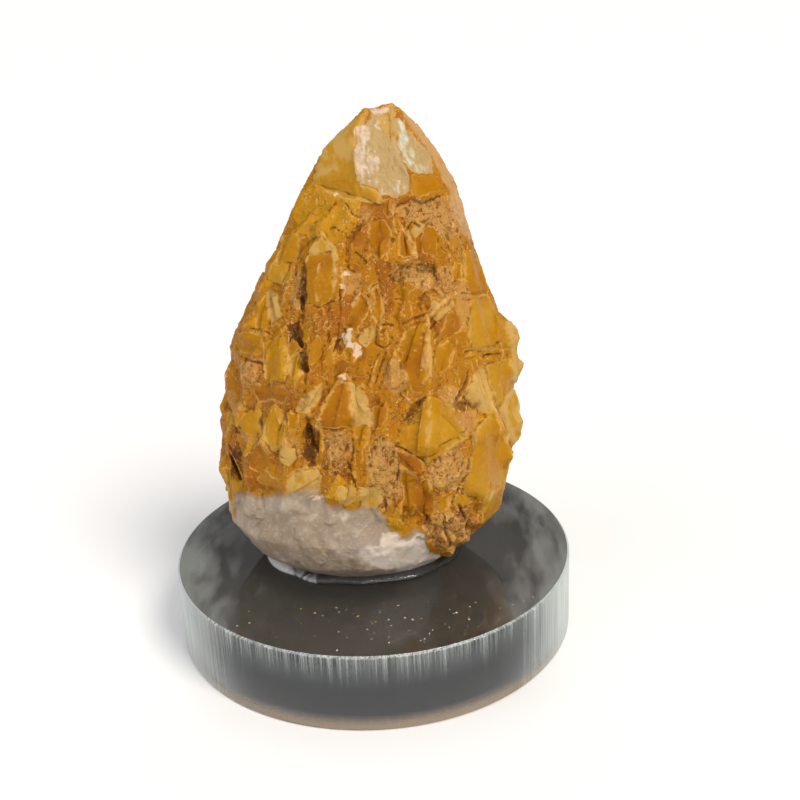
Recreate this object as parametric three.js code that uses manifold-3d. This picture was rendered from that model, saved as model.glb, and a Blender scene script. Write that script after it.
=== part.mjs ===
// A phantom quartz standing on a clear acrylic disc, held there by a bead of clear glue.
// Millimetres, +Z up, the front of the crystal faces -Y.
// The origin is the centre of the disc's underside.
import * as THREE from "three";
import { mergeVertices } from "three/addons/utils/BufferGeometryUtils.js";
import Module from "manifold-3d";

const wasm = await Module();
wasm.setup();

// Driving sizes
const DISC_DIAMETER = 50;
const DISC_THICKNESS = 10; // stock acrylic sheet
const DISC_EDGE_BREAK = 0.25;
const GLUE_GAP = 0.3; // clearance kept between touching pieces
const GLUE_HEIGHT = 1.0;
const CRYSTAL_FOOT_Z = DISC_THICKNESS + GLUE_GAP;
const AXIS_LEAN = THREE.MathUtils.degToRad(5); // the whole crystal leans to +X
const CORNER = Math.PI / 3; // six sides
const MERGE = 1e-4;

// Outline of the main crystal: height, left and right edge, front and back face, how far the six
// sides bulge out from flat (0 is a true hexagon), and where the two front ridges lie across the
// half width.
const EVEN = [-0.5, 0.5];
const SECTIONS = [
  { z: CRYSTAL_FOOT_Z, left: -12.0, right: 10.0, front: -8.5, back: 7.4, bulge: 1.0 },
  { z: 12.4, left: -15.4, right: 12.8, front: -10.2, back: 9.2, bulge: 1.0 },
  { z: 16, left: -18.0, right: 16.6, front: -11.4, back: 10.6, bulge: 0.9 },
  { z: 22, left: -18.7, right: 18.6, front: -12.0, back: 11.3, bulge: 0.6 },
  { z: 28, left: -18.2, right: 18.9, front: -11.8, back: 11.3, bulge: 0.4 },
  { z: 34, left: -17.1, right: 18.8, front: -11.0, back: 10.7, bulge: 0.3 },
  { z: 40, left: -15.2, right: 17.7, front: -9.8, back: 9.7, bulge: 0.3 },
  { z: 46, left: -12.4, right: 15.4, front: -8.4, back: 8.4, bulge: 0.3 },
  { z: 52, left: -9.2, right: 13.8, front: -7.0, back: 7.0, bulge: 0.25 },
  { z: 57, left: -5.9, right: 11.8, front: -5.6, back: 5.6, bulge: 0.12, ridges: [-0.3, 0.5] },
  { z: 61, left: -3.4, right: 9.5, front: -4.0, back: 4.0, bulge: 0, ridges: [-0.47, 0.36] },
  { z: 64.0, left: -0.3, right: 7.3, front: -2.2, back: 2.3, bulge: 0, ridges: [-0.68, 0.28] },
  { z: 65.5, left: 1.3, right: 5.9, front: -0.9, back: 1.0, bulge: 0, ridges: [-0.8, 0.24] },
];
const TIP = { x: 4.9, y: 0.1, z: 66.4 };
const CREST = [
  { x: 1.9, z: 65.9, width: 1.6 },
  { x: 3.1, z: 66.0, width: 1.8 },
];
const AROUND = 24; // steps around the six-sided section

// Where points crowd the main crystal, its own face lies this much behind their envelope. Its right
// flank is bare.
const SUNK = { depth: 0.75, from: 17, full: 21, until: 53, to: 57 };
const BARE_FLANK = { middle: 334, halfWidth: 26 };

// Points on the front as they can be told apart: [x, z] of the tip, width across, height of the
// pointed part, turn about the own axis (0 shows an edge, 30 a face), sideways shift of the tip.
const FRONT_POINTS = [
  // rough shoulder below the smooth tip
  [-3.5, 56.3, 3.0, 3.5, 6, 0.0],
  [-1.4, 56.6, 3.1, 2.9, 20, 0.2],
  [0.8, 56.8, 2.9, 3.1, 4, -0.2],
  [2.8, 56.4, 3.1, 4.4, 16, 0.2],
  [4.8, 57.0, 2.6, 2.8, 2, 0.0],
  [7.0, 56.9, 3.0, 2.6, 22, 0.2],
  [9.0, 56.7, 2.8, 2.8, 8, 0.0],
  // upper part, small crowded points
  [-6.0, 53.6, 3.4, 3.3, 12, 0.0],
  [-0.5, 53.7, 2.9, 3.2, 14, 0.2],
  [1.7, 52.2, 3.0, 3.9, 4, -0.2],
  [3.5, 52.7, 2.6, 2.3, 20, 0.0],
  [5.4, 53.8, 2.9, 3.2, 10, 0.5],
  [8.5, 53.8, 3.0, 3.9, 22, 0.2],
  [10.4, 53.4, 2.8, 3.8, 8, 0.0],
  [-1.2, 50.6, 2.8, 3.0, 6, 0.2],
  [6.3, 50.2, 3.1, 3.0, 18, -0.2],
  [8.3, 49.6, 3.1, 2.7, 8, 0.2],
  [11.6, 48.6, 3.0, 2.3, 4, 0.0],
  // long blades on the yellow left flank
  [-3.9, 53.0, 4.6, 3.6, 27, -0.4],
  [-8.0, 51.8, 3.8, 3.0, 24, 0.2],
  [-9.8, 48.8, 3.8, 2.6, 20, 0.0],
  [-10.9, 45.8, 4.4, 4.1, 6, 0.3],
  [-4.0, 46.1, 3.8, 3.0, 28, 0.0],
  // middle
  [0.1, 47.3, 3.8, 4.2, 24, -0.2],
  [2.3, 48.0, 3.0, 4.4, 14, 0.2],
  [5.8, 47.0, 3.2, 2.9, 16, 0.1],
  [8.9, 46.6, 3.9, 2.6, 2, -0.5],
  [10.8, 44.4, 4.6, 4.0, 16, 0.2],
  [7.8, 43.8, 7.4, 6.6, 22, 1.3],
  [-4.7, 42.6, 2.4, 4.0, 8, 0.2],
  [-2.8, 42.3, 2.6, 2.9, 20, 0.0],
  [-0.6, 42.4, 3.8, 2.7, 14, 0.2],
  [3.1, 42.8, 2.8, 2.7, 12, 0.0],
  [4.2, 40.5, 3.2, 4.7, 14, 0.6],
  [1.7, 39.7, 2.9, 4.0, 4, 0.5],
  [-11.0, 41.6, 8.4, 5.0, 3, -0.2],
  // big amber points
  [-1.9, 38.6, 7.6, 5.6, 8, 0.4],
  [7.6, 35.6, 8.4, 6.2, 1, -0.6],
  [14.1, 36.6, 8.6, 8.4, 8, 0.0],
  [11.7, 33.3, 4.4, 4.0, 22, 0.0],
  [2.6, 34.7, 4.4, 4.9, 10, -0.3],
  [-3.5, 36.0, 2.4, 2.0, 0, 0.0],
  [-6.0, 36.1, 3.4, 2.8, 22, 0.2],
  [-8.3, 34.2, 2.8, 2.5, 4, 0.0],
  [-10.6, 33.9, 4.8, 4.3, 10, 0.0],
  [-13.9, 34.8, 6.0, 3.6, 12, 0.0],
  [-13.5, 32.2, 4.0, 2.6, 26, 0.0],
  [-12.8, 28.9, 5.8, 4.3, 8, 0.0],
  [-7.0, 27.6, 5.6, 3.0, 27, 0.2],
  [-16.0, 31.0, 3.0, 3.6, 8, 0.0],
  // lower middle and right
  [2.1, 30.7, 5.6, 5.6, 24, 0.4],
  [9.5, 29.4, 7.0, 5.2, 20, 0.6],
  [0.2, 32.0, 3.4, 4.4, 22, 0.0],
  [5.4, 28.9, 4.2, 2.8, 6, -0.4],
  [5.9, 25.8, 4.8, 4.1, 10, 0.2],
  [8.8, 23.6, 3.4, 2.7, 20, 0.0],
  [3.9, 22.6, 3.6, 3.4, 14, 0.0],
  [-3.1, 26.6, 3.8, 3.3, 10, 0.2],
  [-1.2, 26.8, 3.2, 3.2, 24, 0.0],
  [10.8, 22.0, 3.4, 2.8, 16, -0.2],
];

// Broad blunt points on the right edge, and the mustard lobe at the left foot: angle around the
// outline, z of the tip, width, height of the pointed part, length of the shank, relief.
const EDGE_POINTS = [
  [357, 41.2, 8.4, 3.0, 8.4, 1.2],
  [15, 38.8, 9.0, 4.2, 8.4, 0.9],
  [2, 30.9, 10.4, 3.2, 12.2, 1.25],
  [342, 27.4, 7.0, 3.8, 9.0, 0.7],
  [24, 26.8, 8.4, 4.6, 8.0, 0.7],
  [192, 26.0, 6.2, 2.5, 8.0, 0.6],
];

// Broken blocks over the right foot: [x, z], size across, turn.
const BLOCKS = [
  [8.3, 19.6, 3.4, 10],
  [10.4, 18.2, 3.6, 40],
  [12.6, 17.6, 3.2, 75],
  [9.0, 16.2, 3.4, 25],
  [11.2, 15.2, 3.0, 60],
  [9.4, 13.4, 2.6, 5],
  [13.4, 20.6, 3.4, 50],
  [6.6, 17.8, 2.6, 80],
];

// Clefts between the points: both ends on the front [x, z], width at the middle and depth.
const CLEFTS = [
  { from: [-6.0, 50.0], to: [-6.6, 41.4], width: 1.1, depth: 2.4 },
  { from: [-7.9, 43.2], to: [-6.4, 41.0], width: 1.2, depth: 1.8 },
  { from: [-6.2, 41.2], to: [-6.1, 37.6], width: 0.8, depth: 1.8 },
  { from: [-6.5, 33.6], to: [-5.5, 27.4], width: 1.5, depth: 2.4 },
  { from: [-17.2, 26.6], to: [-15.4, 21.8], width: 1.2, depth: 2.0 },
  { from: [4.4, 50.2], to: [10.6, 48.4], width: 1.0, depth: 1.4 },
  { from: [9.2, 48.9], to: [9.7, 46.6], width: 0.8, depth: 1.4 },
  { from: [2.3, 42.8], to: [2.0, 40.0], width: 0.6, depth: 1.2 },
  { from: [3.7, 39.6], to: [1.6, 35.2], width: 0.6, depth: 1.4 },
  { from: [13.1, 35.6], to: [11.2, 33.3], width: 0.6, depth: 1.4 },
  { from: [4.2, 31.8], to: [7.0, 35.2], width: 1.2, depth: 1.3 },
  { from: [3.4, 29.2], to: [3.6, 25.0], width: 0.6, depth: 1.6 },
  { from: [-1.2, 26.2], to: [-0.9, 22.7], width: 0.6, depth: 1.4 },
  { from: [4.2, 19.6], to: [4.9, 21.8], width: 0.6, depth: 1.2 },
  { from: [12.8, 37.7], to: [17.0, 37.0], width: 0.8, depth: 0.6 },
];

// Where the amber skin has broken off the smooth tip, a pale ground lies a little deeper.
const SKIN_DEPTH = 0.28;
const BROKEN_SKIN = [
  [
    [1.1, 63.8], [1.9, 65.2], [2.6, 65.7], [3.9, 65.6], [4.2, 64.3], [4.5, 61.9], [5.2, 60.3],
    [6.5, 58.9], [6.4, 57.6], [4.7, 56.9], [3.4, 57.6], [1.1, 58.2], [0.5, 58.5], [0.6, 61.9],
  ],
  [
    [5.0, 65.2], [6.0, 64.1], [6.9, 62.6], [8.7, 60.3], [9.3, 58.7], [6.8, 59.4], [5.8, 61.0],
    [5.1, 62.8],
  ],
];

// No point's shank reaches below this height.
const LOWEST_SHANK_Z = 15.5;

// The rest of the surface carries the same growth in rings of unlike points.
const FILL = { seed: 11, from: 26, to: 53, step: 4.4, spacing: 5.6 };
const BACK = { seed: 7, from: 24, to: 57, step: 4.8, spacing: 6.0 };

function randomFrom(seed) {
  let state = seed;
  return () => {
    state = (state + 0x6d2b79f5) | 0;
    let t = Math.imul(state ^ (state >>> 15), 1 | state);
    t = (t + Math.imul(t ^ (t >>> 7), 61 | t)) ^ t;
    return ((t ^ (t >>> 14)) >>> 0) / 4294967296;
  };
}

function toSolid(geometry) {
  geometry.deleteAttribute("normal");
  geometry.deleteAttribute("uv");
  const merged = mergeVertices(geometry, MERGE);
  return new wasm.Manifold(
    new wasm.Mesh({
      numProp: 3,
      vertProperties: merged.attributes.position.array,
      triVerts: new Uint32Array(merged.index.array),
    }),
  );
}

function toGeometry(solid) {
  const mesh = solid.getMesh();
  const geometry = new THREE.BufferGeometry();
  geometry.setAttribute("position", new THREE.BufferAttribute(mesh.vertProperties, 3));
  geometry.setIndex(new THREE.BufferAttribute(mesh.triVerts, 1));
  const flat = geometry.toNonIndexed();
  flat.computeVertexNormals();
  return flat;
}

// Joins in pairs, so that small solids meet small solids first.
function join(solids) {
  if (solids.length === 1) return solids[0];
  const half = Math.ceil(solids.length / 2);
  return join(solids.slice(0, half)).add(join(solids.slice(half)));
}

// A solid turned about +Z, from a profile of [radius, height] that starts and ends on the axis.
function turned(profile, segments) {
  const points = profile.map(([radius, height]) => new THREE.Vector2(radius, height));
  return new THREE.LatheGeometry(points, segments).rotateX(Math.PI / 2);
}

// The outline's sizes at a height, between two sections.
function sectionAt(z) {
  const found = SECTIONS.findIndex((section) => section.z >= z);
  const upper = Math.max(found < 0 ? SECTIONS.length - 1 : found, 1);
  const [low, high] = [SECTIONS[upper - 1], SECTIONS[upper]];
  const share = THREE.MathUtils.clamp((z - low.z) / (high.z - low.z), 0, 1);
  const at = (key) => THREE.MathUtils.lerp(low[key], high[key], share);
  const ridge = (i) => THREE.MathUtils.lerp((low.ridges ?? EVEN)[i], (high.ridges ?? EVEN)[i], share);
  return {
    middle: (at("left") + at("right")) / 2,
    halfWidth: (at("right") - at("left")) / 2,
    front: at("front"),
    back: at("back"),
    bulge: at("bulge"),
    ridges: [ridge(0), ridge(1)],
  };
}

function sunkAt(z, angle) {
  const rise = THREE.MathUtils.smoothstep(z, SUNK.from, SUNK.full);
  const fall = 1 - THREE.MathUtils.smoothstep(z, SUNK.until, SUNK.to);
  const away = Math.abs(THREE.MathUtils.euclideanModulo(angle - BARE_FLANK.middle + 180, 360) - 180);
  return away < BARE_FLANK.halfWidth ? 0 : SUNK.depth * rise * fall;
}

// Moves the two front corners of the hexagon to their ridges.
function acrossFront(share, [leftRidge, rightRidge]) {
  if (share < -0.5) return -1 + (share + 1) * 2 * (leftRidge + 1);
  if (share > 0.5) return 1 - (1 - share) * 2 * (1 - rightRidge);
  return leftRidge + (share + 0.5) * (rightRidge - leftRidge);
}

// A place on the outline at a height; angle 0 is +X and 270 the front.
function outlineAt(z, angle) {
  const { middle, halfWidth, front, back, bulge, ridges } = sectionAt(z);
  const turn = THREE.MathUtils.degToRad(angle);
  const within = THREE.MathUtils.euclideanModulo(turn, CORNER) - CORNER / 2;
  const flat = Math.cos(CORNER / 2) / Math.cos(within);
  const radius = THREE.MathUtils.lerp(flat, 1, bulge);
  const toFace = THREE.MathUtils.lerp(1 / Math.sin(CORNER), 1, bulge);
  const inFront = Math.sin(turn) < 0;
  const share = radius * Math.cos(turn);
  return new THREE.Vector2(
    middle + halfWidth * (inFront ? acrossFront(share, ridges) : share),
    (inFront ? -front : back) * toFace * radius * Math.sin(turn),
  );
}

// The same place moved inward, square to the outline.
function insideOutline(z, angle, inward) {
  const place = outlineAt(z, angle);
  const along = outlineAt(z, angle + 6).sub(outlineAt(z, angle - 6)).normalize();
  return new THREE.Vector2(place.x - along.y * inward, place.y + along.x * inward);
}

// The outline's angle at a place seen from the front.
function frontAngle(x, z) {
  let best = 270;
  const miss = (angle) => Math.abs(outlineAt(z, angle).x - x);
  for (let angle = 180; angle <= 360; angle += 1) {
    if (miss(angle) < miss(best)) best = angle;
  }
  return best;
}

function frontAt(x, z) {
  return outlineAt(z, frontAngle(x, z)).y;
}

// Main crystal: a tapering, flattened six-sided spear with a rounded white foot.
function mainCrystal(deeper = 0) {
  const profile = [[0, SECTIONS[0].z]];
  SECTIONS.forEach((section) => profile.push([1, section.z]));
  profile.push([0, TIP.z]);
  const geometry = turned(profile, AROUND);
  const position = geometry.attributes.position;
  for (let i = 0; i < position.count; i += 1) {
    const [x, y, z] = [position.getX(i), position.getY(i), position.getZ(i)];
    if (Math.hypot(x, y) > 0.5) {
      const angle = THREE.MathUtils.radToDeg(Math.atan2(y, x));
      const place = insideOutline(z, angle, sunkAt(z, angle) + deeper);
      position.setXY(i, place.x, place.y);
    } else if (z > SECTIONS[0].z) {
      position.setXYZ(i, TIP.x, TIP.y, TIP.z - deeper);
    }
  }
  return toSolid(geometry);
}

// One quartz point: a six-sided pyramid over a shank. Its tip lies in the outline, its body mostly
// behind it: at the pyramid's foot it stands out by the relief, and the shank's end is buried.
function quartzPoint({ angle, z, width, point, spin, relief, shift = 0, tipInside = 0.1, length }) {
  const radius = width / 2;
  const longest = length ?? 2.5 + 1.1 * width;
  const shank = Math.max(1.2, Math.min(longest, z - point - LOWEST_SHANK_Z));
  const profile = [
    [0, -point - shank],
    [radius * 0.7, -point - shank],
    [radius, -point],
    [0, 0],
  ];
  const centres = new Map([
    [0, insideOutline(z, angle, tipInside)],
    [-point, insideOutline(z - point, angle, 0.85 * radius - relief)],
    [-point - shank, insideOutline(z - point - shank, angle, radius + 0.9)],
  ]);
  const geometry = turned(profile, 6).rotateZ(THREE.MathUtils.degToRad(spin));
  const position = geometry.attributes.position;
  for (let i = 0; i < position.count; i += 1) {
    const height = [...centres.keys()].find((key) => Math.abs(key - position.getZ(i)) < 0.01);
    const centre = centres.get(height);
    const aside = height < 0 ? shift + AXIS_LEAN * height * 0.5 : 0;
    position.setXYZ(i, centre.x + position.getX(i) + aside, centre.y + 0.85 * position.getY(i), z + height);
  }
  return toSolid(geometry);
}

function frontPoints() {
  return FRONT_POINTS.map(([x, z, width, point, spin, shift]) => {
    const relief = width * (width > 6 ? 0.13 : 0.08);
    return quartzPoint({ angle: frontAngle(x, z), z, width, point, spin, shift: -shift, relief });
  });
}

// Unlike points in rings between two angles, a little lower than the ones placed by hand.
function ringsOfPoints({ seed, from, to, step, spacing }, firstAngle, lastAngle) {
  const random = randomFrom(seed);
  const made = [];
  for (let z = from, ring = 0; z <= to; z += step, ring += 1) {
    const across = 1.2 * outlineAt(z, firstAngle).distanceTo(outlineAt(z, lastAngle));
    const count = Math.max(2, Math.round(across / spacing));
    for (let i = 0; i < count; i += 1) {
      const share = (i + 0.5 * (ring % 2) + 0.4 * random()) / count;
      const width = spacing * (0.7 + 1.0 * random() ** 1.5) * (z > 48 ? 0.8 : 1);
      made.push(
        quartzPoint({
          angle: THREE.MathUtils.lerp(firstAngle, lastAngle, share),
          z: z + 1 + 0.7 * step * (random() - 0.5),
          width,
          point: width * (0.9 + 0.6 * random()),
          spin: 60 * random(),
          shift: 0.3 * width * (random() - 0.5),
          relief: 0.3 * random() - 0.2,
          tipInside: 0.35,
        }),
      );
    }
  }
  return made;
}

// Two blunt teeth beside the main tip
function crest() {
  return CREST.map(({ x, z, width }) => {
    const radius = width / 2;
    const geometry = turned([[0, -2], [radius, -2], [radius, -0.5], [0, 0]], 6);
    return toSolid(geometry.scale(1, 0.6, 1).translate(x, 0, z));
  });
}

function edgePoints() {
  return EDGE_POINTS.map(([angle, z, width, point, length, relief]) =>
    quartzPoint({ angle, z, width, point, length, relief, spin: 0, tipInside: 0.4 }),
  );
}

function blocks() {
  return BLOCKS.map(([x, z, size, turn]) => {
    const geometry = new THREE.DodecahedronGeometry(size / 2, 0);
    geometry.rotateX(turn).rotateY(2 * turn).scale(1.1, 0.8, 0.9).rotateY(0.3 * turn);
    const place = insideOutline(z, frontAngle(x, z), 0.15 * size);
    return toSolid(geometry.translate(place.x, place.y, z));
  });
}

function clefts() {
  return CLEFTS.map(({ from, to, width, depth }) => {
    const start = new THREE.Vector3(from[0], frontAt(from[0], from[1]) - 1.0, from[1]);
    const end = new THREE.Vector3(to[0], frontAt(to[0], to[1]) - 1.0, to[1]);
    const length = start.distanceTo(end);
    const geometry = turned(
      [[0, -length / 2], [width * 0.35, -length / 4], [width / 2, length / 8], [0, length / 2]],
      4,
    );
    geometry.scale(1, (2 * (depth + 1)) / width, 1);
    const along = end.clone().sub(start).normalize();
    geometry.rotateX(-Math.asin(along.y)).rotateY(Math.atan2(along.x, along.z));
    const middle = start.add(end).multiplyScalar(0.5);
    geometry.translate(middle.x, middle.y, middle.z);
    return toSolid(geometry);
  });
}

// Thin cuts with a jagged rim, as deep as the skin all over.
function brokenSkin() {
  const cuts = BROKEN_SKIN.map((rim) => {
    const shape = new THREE.Shape(rim.map(([x, z]) => new THREE.Vector2(x, z)));
    const geometry = new THREE.ExtrudeGeometry(shape, { depth: 9, bevelEnabled: false });
    return toSolid(geometry.rotateX(Math.PI / 2));
  });
  return join(cuts).subtract(mainCrystal(SKIN_DEPTH));
}

// Everything below the foot's plane is cut away, so that the crystal stands flat.
function belowFoot() {
  const deep = 20;
  const geometry = new THREE.BoxGeometry(80, 80, deep);
  geometry.translate(0, 0, CRYSTAL_FOOT_Z - deep / 2);
  return toSolid(geometry);
}

function largestBody(solid) {
  return solid.decompose().reduce((best, body) => (body.volume() > best.volume() ? body : best));
}

function quartz() {
  const grown = join([
    mainCrystal(),
    ...crest(),
    ...frontPoints(),
    ...ringsOfPoints(FILL, 196, 312),
    ...ringsOfPoints(BACK, 6, 192),
    ...edgePoints(),
    ...blocks(),
  ]);
  const cuts = join([...clefts(), brokenSkin(), belowFoot()]);
  return largestBody(grown.subtract(cuts));
}

function acrylicDisc() {
  const radius = DISC_DIAMETER / 2;
  const profile = [
    [0, 0],
    [radius - DISC_EDGE_BREAK, 0],
    [radius, DISC_EDGE_BREAK],
    [radius, DISC_THICKNESS - DISC_EDGE_BREAK],
    [radius - DISC_EDGE_BREAK, DISC_THICKNESS],
    [0, DISC_THICKNESS],
  ];
  return toSolid(turned(profile, 96));
}

// A low solid around the foot; each level has its height, the height on the crystal it starts from
// and its reach outward from there.
function skirt(levels) {
  const profile = levels.map(({ z }) => [1, z]);
  const geometry = turned([[0, levels[0].z], ...profile, [0, levels.at(-1).z]], 2 * AROUND);
  const position = geometry.attributes.position;
  for (let i = 0; i < position.count; i += 1) {
    const [x, y, z] = [position.getX(i), position.getY(i), position.getZ(i)];
    if (Math.hypot(x, y) > 0.5) {
      const turn = Math.atan2(y, x);
      const level = levels.find((entry) => Math.abs(entry.z - z) < 0.01);
      const uneven = 0.24 * Math.sin(3 * turn + 0.6) + 0.16 * Math.sin(8 * turn + 2);
      const out = level.out * (1 + (level.uneven ?? 0) * uneven);
      const place = insideOutline(level.wall, THREE.MathUtils.radToDeg(turn), -out);
      position.setXY(i, place.x, place.y);
    } else {
      position.setXY(i, -1, -0.5);
    }
  }
  return toSolid(geometry);
}

// Clear glue: a low bead that fills the corner between the disc and the flaring foot.
function glueBead() {
  const top = DISC_THICKNESS + GLUE_HEIGHT;
  const outer = skirt([
    { z: DISC_THICKNESS, wall: CRYSTAL_FOOT_Z, out: 1.75, uneven: 1 },
    { z: DISC_THICKNESS + 0.4, wall: CRYSTAL_FOOT_Z, out: 1.7, uneven: 1 },
    { z: top, wall: top, out: 0.8 },
  ]);
  const hollow = skirt([
    { z: DISC_THICKNESS - 1, wall: CRYSTAL_FOOT_Z, out: GLUE_GAP + 0.05 },
    { z: DISC_THICKNESS, wall: CRYSTAL_FOOT_Z, out: GLUE_GAP + 0.05 },
    { z: top, wall: top, out: 2 * GLUE_GAP },
    { z: top + 1, wall: top + 1, out: 2 * GLUE_GAP },
  ]);
  return outer.subtract(hollow);
}

const FINISHES = {
  quartz: new THREE.MeshStandardMaterial({ color: 0xc98a2e, roughness: 0.45, metalness: 0 }),
  acrylic: new THREE.MeshStandardMaterial({ color: 0x6f7a7a, roughness: 0.08, metalness: 0 }),
  glue: new THREE.MeshStandardMaterial({ color: 0xc9c9c4, roughness: 0.2, metalness: 0 }),
};

function piece(name, solid, finish) {
  const mesh = new THREE.Mesh(toGeometry(solid), finish);
  mesh.name = name;
  return mesh;
}

const specimen = new THREE.Group();
specimen.add(piece("acrylic_base", acrylicDisc(), FINISHES.acrylic));
specimen.add(piece("quartz_crystal", quartz(), FINISHES.quartz));
specimen.add(piece("glue_bead", glueBead(), FINISHES.glue));

export default specimen;
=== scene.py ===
# %% [markdown]
# # A stepped quartz crystal on a clear disc
# The real object is a display specimen, 66 mm tall: one amber quartz crystal that is built of many smaller
# points, with a milky foot, glued upright on a disc of clear acrylic. The CAD model has its true sizes and
# its larger faces. This notebook gives each piece the surface that the eye expects: grain, crust, cracks and
# colour on the quartz, saw marks on the rim of the disc, a pool of glue, and the grit that fell from the
# stone.

import bmesh
import bpy
import math
import random
import numpy as np
from mathutils import Matrix, Vector, noise
from mathutils.bvhtree import BVHTree
from mathutils.kdtree import KDTree


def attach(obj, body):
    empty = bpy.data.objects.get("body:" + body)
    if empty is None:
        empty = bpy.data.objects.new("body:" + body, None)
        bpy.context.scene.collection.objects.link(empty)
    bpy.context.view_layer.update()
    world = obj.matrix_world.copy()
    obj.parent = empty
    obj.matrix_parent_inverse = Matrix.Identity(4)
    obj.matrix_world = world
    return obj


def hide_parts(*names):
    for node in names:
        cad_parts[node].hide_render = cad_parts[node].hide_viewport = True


MM = 0.001
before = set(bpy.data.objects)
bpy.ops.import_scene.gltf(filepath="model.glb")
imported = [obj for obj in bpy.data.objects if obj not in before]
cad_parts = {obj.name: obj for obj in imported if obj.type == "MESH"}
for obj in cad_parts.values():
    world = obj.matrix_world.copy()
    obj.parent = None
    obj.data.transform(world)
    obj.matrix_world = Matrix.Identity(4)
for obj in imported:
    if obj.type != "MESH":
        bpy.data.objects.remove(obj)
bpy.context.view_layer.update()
crystal_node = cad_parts["quartz_crystal"]
print("frame loaded, with nodes", sorted(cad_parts))

# %% [markdown]
# ## Camera
# The photograph looks down on the disc by about 23 degrees. The two ellipses of the disc's rims fix the
# distance, the tilt and a slight roll, so the camera is placed until both rims fall on those of the
# photograph.

# %% Place the camera
PICTURE = 800
LENS = 58.5
SENSOR = 36.0
LOOKS_DOWN = 23.2
ROLL = 2.58
CAMERA_PLACE = (0.00425, -0.1465, 0.093)
tilt = Matrix.Rotation(math.radians(90 - LOOKS_DOWN), 4, "X")
camera_turn = tilt @ Matrix.Rotation(math.radians(-ROLL), 4, "Z")
camera_data = bpy.data.cameras.new("camera")
camera_data.lens = LENS
camera_data.sensor_width = SENSOR
camera_data.clip_start = 0.01
camera_data.clip_end = 10
camera = bpy.data.objects.new("camera", camera_data)
camera.matrix_world = Matrix.Translation(CAMERA_PLACE) @ camera_turn
bpy.context.collection.objects.link(camera)
bpy.context.scene.camera = camera
print("camera", tuple(round(v, 4) for v in camera.location))

# %% [markdown]
# ## Floor and light
# The photograph is a cut-out on white, so the object stands on a plain near-white floor. A pale sky and three
# broad suns light it softly: one high on the right, one on the left and one low in front. The sky is darker
# near the horizon, because the polished top of the disc mirrors it there, and that top is dark in the photo.

# %% Helpers for nodes, colours and meshes
def linear(code):
    """A colour given as sRGB hex, such as #C89632, as the linear values that Blender wants."""
    parts = [int(code[i : i + 2], 16) / 255 for i in (1, 3, 5)]
    return [c / 12.92 if c < 0.04045 else ((c + 0.055) / 1.055) ** 2.4 for c in parts] + [1.0]


def add(tree, kind, inputs=None, **settings):
    """Adds one node with its settings. Each input is fed by another node, one of its sockets, or a value."""
    node = tree.nodes.new(kind)
    for name, value in settings.items():
        setattr(node, name, value)
    for name, value in (inputs or {}).items():
        if isinstance(value, bpy.types.Node):
            value = value.outputs[0]
        if isinstance(value, bpy.types.NodeSocket):
            tree.links.new(value, node.inputs[name])
        else:
            node.inputs[name].default_value = value
    return node


def new_material(name):
    material = bpy.data.materials.new(name)
    material.use_nodes = True
    material.node_tree.nodes.clear()
    return material, material.node_tree


def link_object(name, data):
    made = bpy.data.objects.new(name, data)
    bpy.context.collection.objects.link(made)
    return made


def mesh_from(form, name):
    """The finished form as a mesh."""
    mesh = bpy.data.meshes.new(name)
    form.to_mesh(mesh)
    form.free()
    return mesh


def modified(mesh, kind, **settings):
    """The mesh as one modifier with these settings leaves it."""
    holder = link_object(mesh.name, mesh)
    modifier = holder.modifiers.new(kind, kind)
    for name, value in settings.items():
        setattr(modifier, name, value)
    settled = bpy.context.evaluated_depsgraph_get()
    made = bpy.data.meshes.new_from_object(holder.evaluated_get(settled))
    bpy.data.objects.remove(holder)
    return made


print("amber in linear light", [round(v, 3) for v in linear("#C89632")])

# %% Floor
FLOOR_DROP = 0.02 * MM
FLOOR_HALF = 3.0
floor_form = bmesh.new()
bmesh.ops.create_grid(floor_form, x_segments=1, y_segments=1, size=FLOOR_HALF)
bmesh.ops.translate(floor_form, verts=floor_form.verts, vec=(0, 0, -FLOOR_DROP))
floor = link_object("floor", mesh_from(floor_form, "floor"))
floor_paint, tree = new_material("matt_white_table")
shade = add(tree, "ShaderNodeBsdfPrincipled", {"Base Color": linear("#FBFBFB"), "Roughness": 0.9})
add(tree, "ShaderNodeOutputMaterial", {"Surface": shade})
floor.data.materials.append(floor_paint)
print("floor", tuple(round(v, 2) for v in floor.dimensions))

# %% Sky and lamps
# A sun's row holds where it stands, its strength, its width in degrees, which softens its shadows, and its
# colour.
SUNS = {
    "key": ((0.30, -0.34, 0.52), 2.05, 24, "#FFF8EE"),
    "fill": ((-0.50, -0.30, 0.30), 0.55, 50, "#F6F8FF"),
    "low_front": ((0.16, -0.60, 0.14), 0.60, 40, "#FFFBF4"),
}
SKY_COLOURS = ((0.30, "#4A4D51"), (0.75, "#FFFFFF"))
sky = bpy.data.worlds.new("studio_sky")
bpy.context.scene.world = sky
sky.use_nodes = True
tree = sky.node_tree
tree.nodes.clear()
direction = add(tree, "ShaderNodeTexCoord").outputs["Generated"]
height = add(tree, "ShaderNodeSeparateXYZ", {"Vector": direction})
ramp = add(tree, "ShaderNodeValToRGB", {"Fac": height.outputs["Z"]})
for stop, (position, code) in zip(ramp.color_ramp.elements, SKY_COLOURS):
    stop.position = position
    stop.color = linear(code)
soft = add(tree, "ShaderNodeBackground", {"Color": ramp, "Strength": 0.72})
plain = add(tree, "ShaderNodeBackground", {"Color": linear("#FFFFFF"), "Strength": 1.0})
seen = add(tree, "ShaderNodeLightPath").outputs["Is Camera Ray"]
sky_mix = add(tree, "ShaderNodeMixShader", {0: seen, 1: soft, 2: plain})
add(tree, "ShaderNodeOutputWorld", {"Surface": sky_mix})
bpy.context.scene.view_settings.view_transform = "Standard"
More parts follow.
